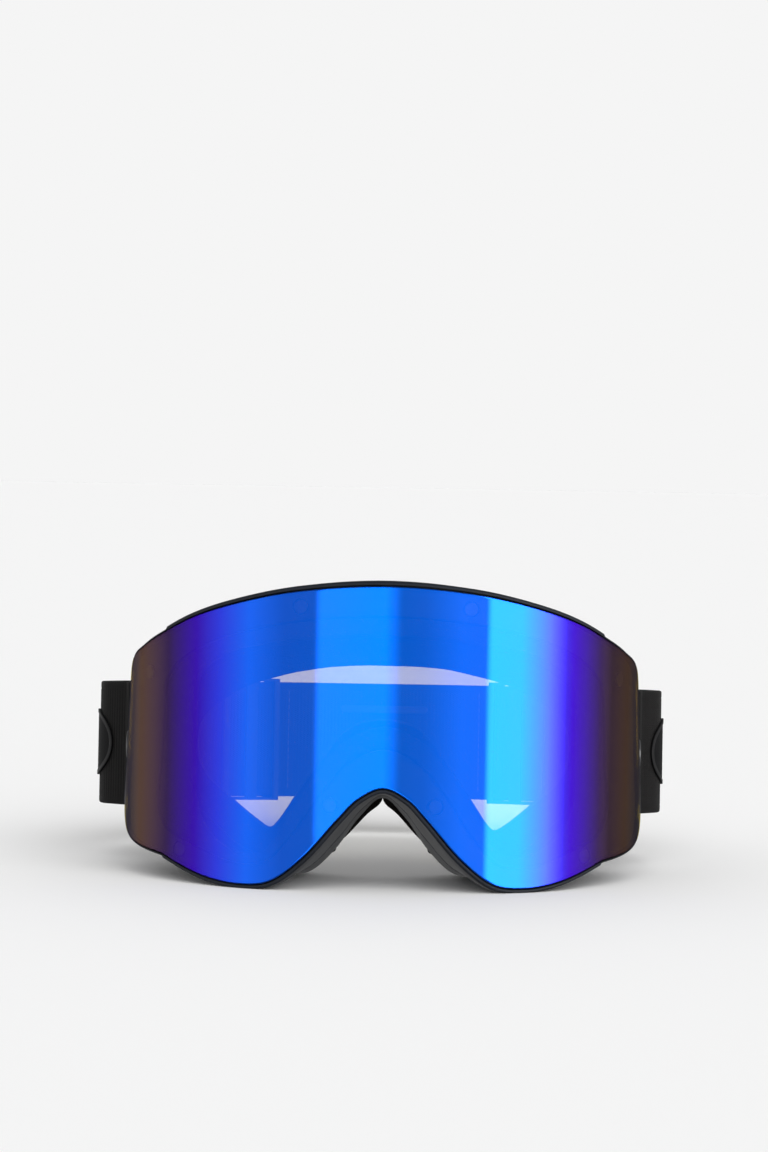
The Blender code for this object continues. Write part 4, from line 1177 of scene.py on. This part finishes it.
# ================================================================ materials
def wired(tree, kind, inputs, **settings):
    """A new node; each input takes a value, or a link from another node's output."""
    node = tree.nodes.new(kind)
    for name, value in settings.items():
        setattr(node, name, value)
    for socket, value in inputs.items():
        if isinstance(value, bpy.types.NodeSocket):
            tree.links.new(value, node.inputs[socket])
        else:
            node.inputs[socket].default_value = value
    return node


def maths(tree, operation, *values):
    return wired(tree, "ShaderNodeMath", dict(enumerate(values)), operation=operation).outputs[0]


def map_range(tree, value, *ends, **settings):
    """The value with one range mapped to another, which is 0 to 1 unless it is given."""
    return wired(tree, "ShaderNodeMapRange", dict(enumerate((value, *ends))), **settings).outputs[0]


def mixed(tree, share, first, second):
    """A mix of two shaders; share is how much of it the second one is."""
    return wired(tree, "ShaderNodeMixShader", {0: share, 1: first, 2: second}).outputs[0]


def background(tree, strength, colour=(1, 1, 1, 1)):
    return wired(tree, "ShaderNodeBackground", {0: colour, 1: strength}).outputs[0]


def filled_ramp(tree, factor, stops):
    """A colour ramp's output; stops are (place from 0 to 1, grey or colour)."""
    node = wired(tree, "ShaderNodeValToRGB", {"Fac": factor})
    elements = node.color_ramp.elements
    while len(elements) < len(stops):
        elements.new(1.0)
    for element, (position, colour) in zip(elements, stops):
        element.position = position
        rgb = colour if isinstance(colour, tuple) else (colour,) * 3
        element.color = (*rgb, 1.0)
    return node.outputs["Color"]


class Look:
    """A material being made: one Principled shader and the procedural nodes that feed it."""

    def __init__(self, name, roughness, values=None):
        self.material = bpy.data.materials.new(name)
        self.material.use_nodes = True
        self.tree = self.material.node_tree
        self.shader = self.tree.nodes["Principled BSDF"]
        self.shader.inputs["Roughness"].default_value = roughness
        for socket, value in (values or {}).items():
            self.shader.inputs[socket].default_value = value
        self.place = self.add("ShaderNodeTexCoord", {}).outputs["Object"]

    def add(self, kind, inputs, **settings):
        return wired(self.tree, kind, inputs, **settings)

    def feed(self, socket, source):
        self.tree.links.new(source, self.shader.inputs[socket])

    def sum(self, first, second, weight):
        """The first height plus a share of the second."""
        return maths(self.tree, "MULTIPLY_ADD", second, weight, first)

    def product(self, first, second):
        return maths(self.tree, "MULTIPLY", first, second)

    def noise(self, size, detail=3.0, stretch=(1.0, 1.0, 1.0)):
        """Noise from 0 to 1 with lumps of about a size, stretched along the axes."""
        scale = tuple(1 / factor for factor in stretch)
        mapping = self.add("ShaderNodeMapping", {"Vector": self.place, "Scale": scale})
        inputs = {"Vector": mapping.outputs[0], "Scale": 1 / size, "Detail": detail}
        return self.add("ShaderNodeTexNoise", inputs).outputs[0]

    def cells(self, size):
        """Distance from the middle of the nearest cell, in cells of about a size."""
        inputs = {"Vector": self.place, "Scale": 1 / size}
        return self.add("ShaderNodeTexVoronoi", inputs).outputs["Distance"]

    def attribute(self, name):
        return self.add("ShaderNodeAttribute", {}, attribute_name=name).outputs["Fac"]

    def wave(self, coordinate, pitch):
        return maths(self.tree, "SINE", self.product(coordinate, 2 * math.pi / pitch))

    def colour(self, factor, stops):
        self.feed("Base Color", filled_ramp(self.tree, factor, stops))

    def mottled(self, factor, dark, pale):
        self.colour(factor, tuple(zip(NOISE_RANGE, (dark, pale))))

    def worn_colour(self, factor, dark, pale, worn):
        """Mottled, but paler on outside corners, where hands rub."""
        base = filled_ramp(self.tree, factor, tuple(zip(NOISE_RANGE, (dark, pale))))
        corner = self.add("ShaderNodeNewGeometry", {}).outputs["Pointiness"]
        rubbed = filled_ramp(self.tree, corner, RUBBED_CORNERS)
        mix = self.add("ShaderNodeMix", {0: rubbed, 6: base, 7: (*worn, 1.0)},
                       data_type="RGBA")
        self.feed("Base Color", mix.outputs[2])

    def roughness(self, factor, low, high):
        self.feed("Roughness", filled_ramp(self.tree, factor, tuple(zip(NOISE_RANGE, (low, high)))))

    def relief(self, *layers):
        """Bump from (height, depth in metres) layers, one over the other."""
        normal = None
        for height, depth in layers:
            inputs = {"Height": height, "Distance": depth, "Strength": 1.0}
            if normal:
                inputs["Normal"] = normal
            normal = self.add("ShaderNodeBump", inputs).outputs["Normal"]
        self.feed("Normal", normal)

    def see_through(self, share, tint):
        """Mixes the shader over clear tinted glass; share is how much of it stays."""
        clear = self.add("ShaderNodeBsdfTransparent", {"Color": tint})
        mix = mixed(self.tree, share, clear.outputs[0], self.shader.outputs[0])
        self.tree.links.new(mix, self.tree.nodes["Material Output"].inputs["Surface"])


def moulded(name, grey, roughness, grain=0.42 * MM, depth=0.022 * MM, gloss=0.14, coat=0.0):
    """Moulded plastic: spark-eroded grain, slow mottling, handling marks, paler corners."""
    look = Look(name, roughness, {"Specular IOR Level": gloss, "Coat Weight": coat})
    mottle = look.noise(11 * MM, 4.0)
    dark = tuple(level * 0.82 for level in grey)
    pale = tuple(level * 1.22 for level in grey)
    worn = tuple(level * 1.5 + 0.006 for level in grey)
    look.worn_colour(mottle, dark, pale, worn)
    marks = look.sum(look.noise(2.6 * MM, 5.0), look.noise(24 * MM), 0.6)
    look.roughness(marks, roughness - 0.07, roughness + 0.09)
    look.relief((look.noise(9 * MM, 1.0), 0.10 * MM), (look.noise(grain, 2.0), depth))
    return look.material


def soft_foam(name, dark, pale, cell):
    """Open-cell foam: round pits of a cell's size, with finer skin between them."""
    look = Look(name, 0.96, {"Specular IOR Level": 0.18})
    pits = look.sum(look.cells(cell), look.cells(cell * 0.47), 0.5)
    # Painted shade: the colour comes from the same pits that the bump sinks, so the foam is painted
    # darker where its pits are deep.
    look.colour(look.sum(pits, look.noise(6 * MM), 0.35), ((0.2, pale), (0.95, dark)))
    look.relief((look.noise(5 * MM, 2.0), 0.3 * MM), (pits, -0.35 * cell))
    return look.material


def fleece():
    """Short brushed pile: clumps of fibres with a soft sheen."""
    look = Look("brushed fleece", 1.0, {"Specular IOR Level": 0.1, "Sheen Weight": 0.35,
                                        "Sheen Roughness": 0.45})
    clumps = look.noise(1.9 * MM, 5.0, (1.0, 1.0, 1.6))
    fibres = look.noise(0.32 * MM, 3.0, (1.0, 2.4, 1.0))
    pile = look.sum(clumps, fibres, 0.6)
    # Painted shade: the colour follows the pile's height, darker in the low places between clumps
    # and fibres and paler on their tops.
    look.colour(pile, ((0.55, (0.003, 0.003, 0.0033)), (1.0, (0.016, 0.015, 0.0155))))
    look.relief((clumps, 0.7 * MM), (fibres, 0.22 * MM))
    return look.material


def woven():
    """Elastic webbing: warp threads over the cross ribs, plain weave in between."""
    look = Look("elastic webbing", 0.85, {"Specular IOR Level": 0.12, "Sheen Weight": 0.03,
                                          "Sheen Roughness": 0.4})
    along, across = look.attribute("along"), look.attribute("across")
    rib = look.wave(along, RIB_PITCH)
    crossing = look.product(rib, look.wave(across, 0.8 * MM))
    threads = look.sum(rib, crossing, 0.6)
    fuzz = look.noise(0.25 * MM, 2.0)
    # Painted shade: the colour follows the ribs, the crossing threads and the fuzz that also shape
    # the relief, darker in the hollows between raised threads. The slow 16 mm noise is a random
    # tone.
    shade = look.sum(look.sum(threads, fuzz, 0.9), look.noise(16 * MM), 0.8)
    look.colour(map_range(look.tree, shade, -1.0, 3.0),
                ((0.1, (0.0025, 0.0024, 0.0025)), (0.9, (0.012, 0.0115, 0.0115))))
    look.relief((crossing, 0.05 * MM), (fuzz, 0.05 * MM))
    return look.material


def mirror():
    """The lens's front: a metal coating whose tint shifts across it, under clear varnish."""
    look = Look("mirror coating", 0.03, {"Metallic": 1.0, "Coat Weight": 0.02,
                                         "Coat Roughness": 0.02, "Coat IOR": 1.45,
                                         "Specular Tint": (0.30, 0.30, 0.36, 1.0)})
    x = look.add("ShaderNodeSeparateXYZ", {0: look.place}).outputs["X"]
    share = look.product(maths(look.tree, "ABSOLUTE", x), 1 / COATING_REACH)
    look.colour(share, [(reach / COATING_REACH, tint) for reach, tint in COATING_STOPS])
    look.roughness(look.noise(18 * MM, 4.0), 0.02, 0.045)
    look.see_through(MIRROR_SHARE, LENS_TINT)
    return look.material


def lens_back():
    look = Look("lens back", 0.08, {"Specular IOR Level": 0.1})
    look.mottled(look.noise(20 * MM), (0.05, 0.03, 0.02), (0.07, 0.045, 0.03))
    look.see_through(0.05, (1.0, 0.98, 0.95, 1.0))
    return look.material


def clear_pane():
    look = Look("anti-fog pane", 0.10, {"Specular IOR Level": 0.1})
    look.mottled(look.noise(20 * MM), (0.03, 0.03, 0.034), (0.05, 0.05, 0.055))
    look.roughness(look.noise(7 * MM, 5.0), 0.07, 0.16)
    look.see_through(0.03, (0.985, 0.98, 0.985, 1.0))
    return look.material


def black_plate():
    """Black-nickel plate, a little mottled, with a fine matt tooth."""
    look = Look("black plate", 0.4, {"Metallic": 0.6, "Specular IOR Level": 0.2})
    look.mottled(look.noise(1.5 * MM, 4.0), (0.010, 0.010, 0.011), (0.024, 0.024, 0.026))
    look.roughness(look.noise(0.5 * MM, 3.0), 0.32, 0.5)
    look.relief((look.noise(0.2 * MM, 2.0), 0.006 * MM))
    return look.material


def twisted_thread():
    look = Look("twisted thread", 0.7, {"Sheen Weight": 0.2})
    twist = look.noise(0.3 * MM, 2.0, (1.0, 1.0, 0.4))
    # Painted shade: the twist drives both the colour and the bump, so the thread is painted darker
    # where its surface lies low.
    look.mottled(twist, (0.02, 0.02, 0.021), (0.06, 0.058, 0.057))
    look.relief((twist, 0.06 * MM))
    return look.material


def all_materials():
    return {
        "frame": moulded("moulded frame", (0.0085, 0.0105, 0.015), 0.42),
        "mirror": mirror(),
        "lens_back": lens_back(),
        "pane": clear_pane(),
        "gasket": soft_foam("closed foam gasket", (0.006, 0.006, 0.007), (0.018, 0.018, 0.02),
                            0.5 * MM),
        "carrier": moulded("lens carrier", (0.006, 0.006, 0.007), 0.5, gloss=0.1),
        "magnet": black_plate(),
        "foam_firm": soft_foam("firm foam", (0.005, 0.0045, 0.004), (0.015, 0.014, 0.012),
                               0.6 * MM),
        "foam_soft": soft_foam("soft foam", (0.004, 0.0032, 0.0026), (0.013, 0.011, 0.009),
                               1.0 * MM),
        "vent_foam": soft_foam("filter foam", (0.003, 0.003, 0.003), (0.03, 0.03, 0.03),
                               1.3 * MM),
        "fleece": fleece(),
        "arm": moulded("side arm", (0.015, 0.015, 0.017), 0.42, 0.5 * MM, 0.03 * MM),
        "post": moulded("strap post", (0.022, 0.022, 0.025), 0.26, 0.3 * MM, 0.008 * MM,
                        gloss=0.4, coat=0.25),
        "clip": moulded("strap clip", (0.013, 0.013, 0.015), 0.34, 0.35 * MM, 0.015 * MM),
        "webbing": woven(),
        "thread": twisted_thread(),
        "badge": moulded("badge rim", (0.004, 0.004, 0.0045), 0.42, 0.3 * MM, 0.01 * MM),
        "badge_field": moulded("badge field", (0.003, 0.003, 0.0035), 0.6, 0.7 * MM, 0.06 * MM,
                               gloss=0.08),
        "grip": moulded("silicone grip", (0.014, 0.014, 0.016), 0.42, 0.6 * MM, 0.02 * MM,
                        gloss=0.2),
        "slider": moulded("slider", (0.007, 0.007, 0.008), 0.38, 0.35 * MM, 0.015 * MM),
    }


# ================================================================ stage
def build_room():
    """Even light for matt surfaces, and a room with windows for glossy ones to reflect."""
    world = bpy.data.worlds.new("studio")
    world.use_nodes = True
    bpy.context.scene.world = world
    tree = world.node_tree
    direction = wired(tree, "ShaderNodeTexCoord", {}).outputs["Generated"]
    x, y, z = wired(tree, "ShaderNodeSeparateXYZ", {0: direction}).outputs
    turn = maths(tree, "ARCTAN2", x, maths(tree, "MULTIPLY", y, -1.0))
    half = math.radians(ROOM_RANGE)
    stops = [((degrees + ROOM_RANGE) / (2 * ROOM_RANGE), level / ROOM_SCALE)
             for degrees, level in ROOM_STOPS]
    room = filled_ramp(tree, map_range(tree, turn, -half, half), stops)
    windows = background(tree, ROOM_SCALE / MIRROR_SHARE, room)
    steep = map_range(tree, maths(tree, "ABSOLUTE", z), *ROOM_HEIGHTS,
                      interpolation_type="SMOOTHSTEP")
    behind = map_range(tree, y, *ROOM_BEHIND, 0.0, BEHIND_CEILING)
    reflected = mixed(tree, maths(tree, "MAXIMUM", steep, behind), windows,
                      background(tree, CEILING))
    path = wired(tree, "ShaderNodeLightPath", {}).outputs
    direct = maths(tree, "LESS_THAN", path["Diffuse Depth"], 0.5)
    mirrored = maths(tree, "MULTIPLY", path["Is Glossy Ray"], direct)
    matt = mixed(tree, path["Is Camera Ray"], background(tree, FILL_LIGHT),
                 background(tree, PAPER))
    both = mixed(tree, mirrored, matt, reflected)
    tree.links.new(both, tree.nodes["World Output"].inputs["Surface"])


def build_floor():
    reach = FLOOR_HALF
    corners = [(-reach, -reach, 0), (reach, -reach, 0), (reach, reach, 0), (-reach, reach, 0)]
    mesh = mesh_of("floor", corners, [(0, 1, 2, 3)])
    look = Look("paper floor", 1.0, {"Specular IOR Level": 0.0})
    look.shader.inputs["Base Color"].default_value = (FLOOR_GREY,) * 3 + (1.0,)
    mesh.materials.append(look.material)
    floor = in_scene("floor", mesh)
    floor.visible_glossy = False


def build_sun():
    light = bpy.data.lights.new("front_softbox", "SUN")
    light.energy = SUN_STRENGTH
    light.angle = SUN_ANGLE
    sun = in_scene("front_softbox", light)
    sun.matrix_world = SUN_FROM.to_track_quat("Z", "Y").to_matrix().to_4x4()
    sun.visible_glossy = False


def build_camera():
    lens = bpy.data.cameras.new("camera")
    lens.lens = CAMERA_LENS
    lens.sensor_width = CAMERA_SENSOR
    camera = in_scene("camera", lens)
    camera.matrix_world = (Matrix.Translation(CAMERA_PLACE)
                           @ Matrix.Rotation(math.pi / 2 + CAMERA_PITCH, 4, "X")
                           @ Matrix.Rotation(CAMERA_ROLL, 4, "Z"))
    bpy.context.scene.camera = camera


# ================================================================ the whole scene
def build_goggles():
    materials = all_materials()
    lines = Outlines()
    rings = frame_rings(lines)
    places = magnet_positions(lines)
    build_frame(rings, places, materials)
    build_vent_foam(rings, materials)
    build_lens_unit(lines, places, materials)
    build_magnets(places, materials)
    build_foam(lines, materials)
    build_nose_flaps(materials)
    outer = {side: outer_half_path(side) for side in (1, -1)}
    build_webbing(outer, materials)
    build_stitches(outer, materials)
    build_grips(materials)
    for word, side in SIDES:
        build_side_arm(word, side, rings, materials)
        build_post(word, side, materials)
        build_clip(word, side, materials)
        build_badge(word, side, outer[side], materials)
        build_slider(word, side, outer[side], materials)


bpy.context.scene.view_settings.view_transform = "Standard"
build_camera()
build_room()
build_floor()
build_sun()
build_goggles()
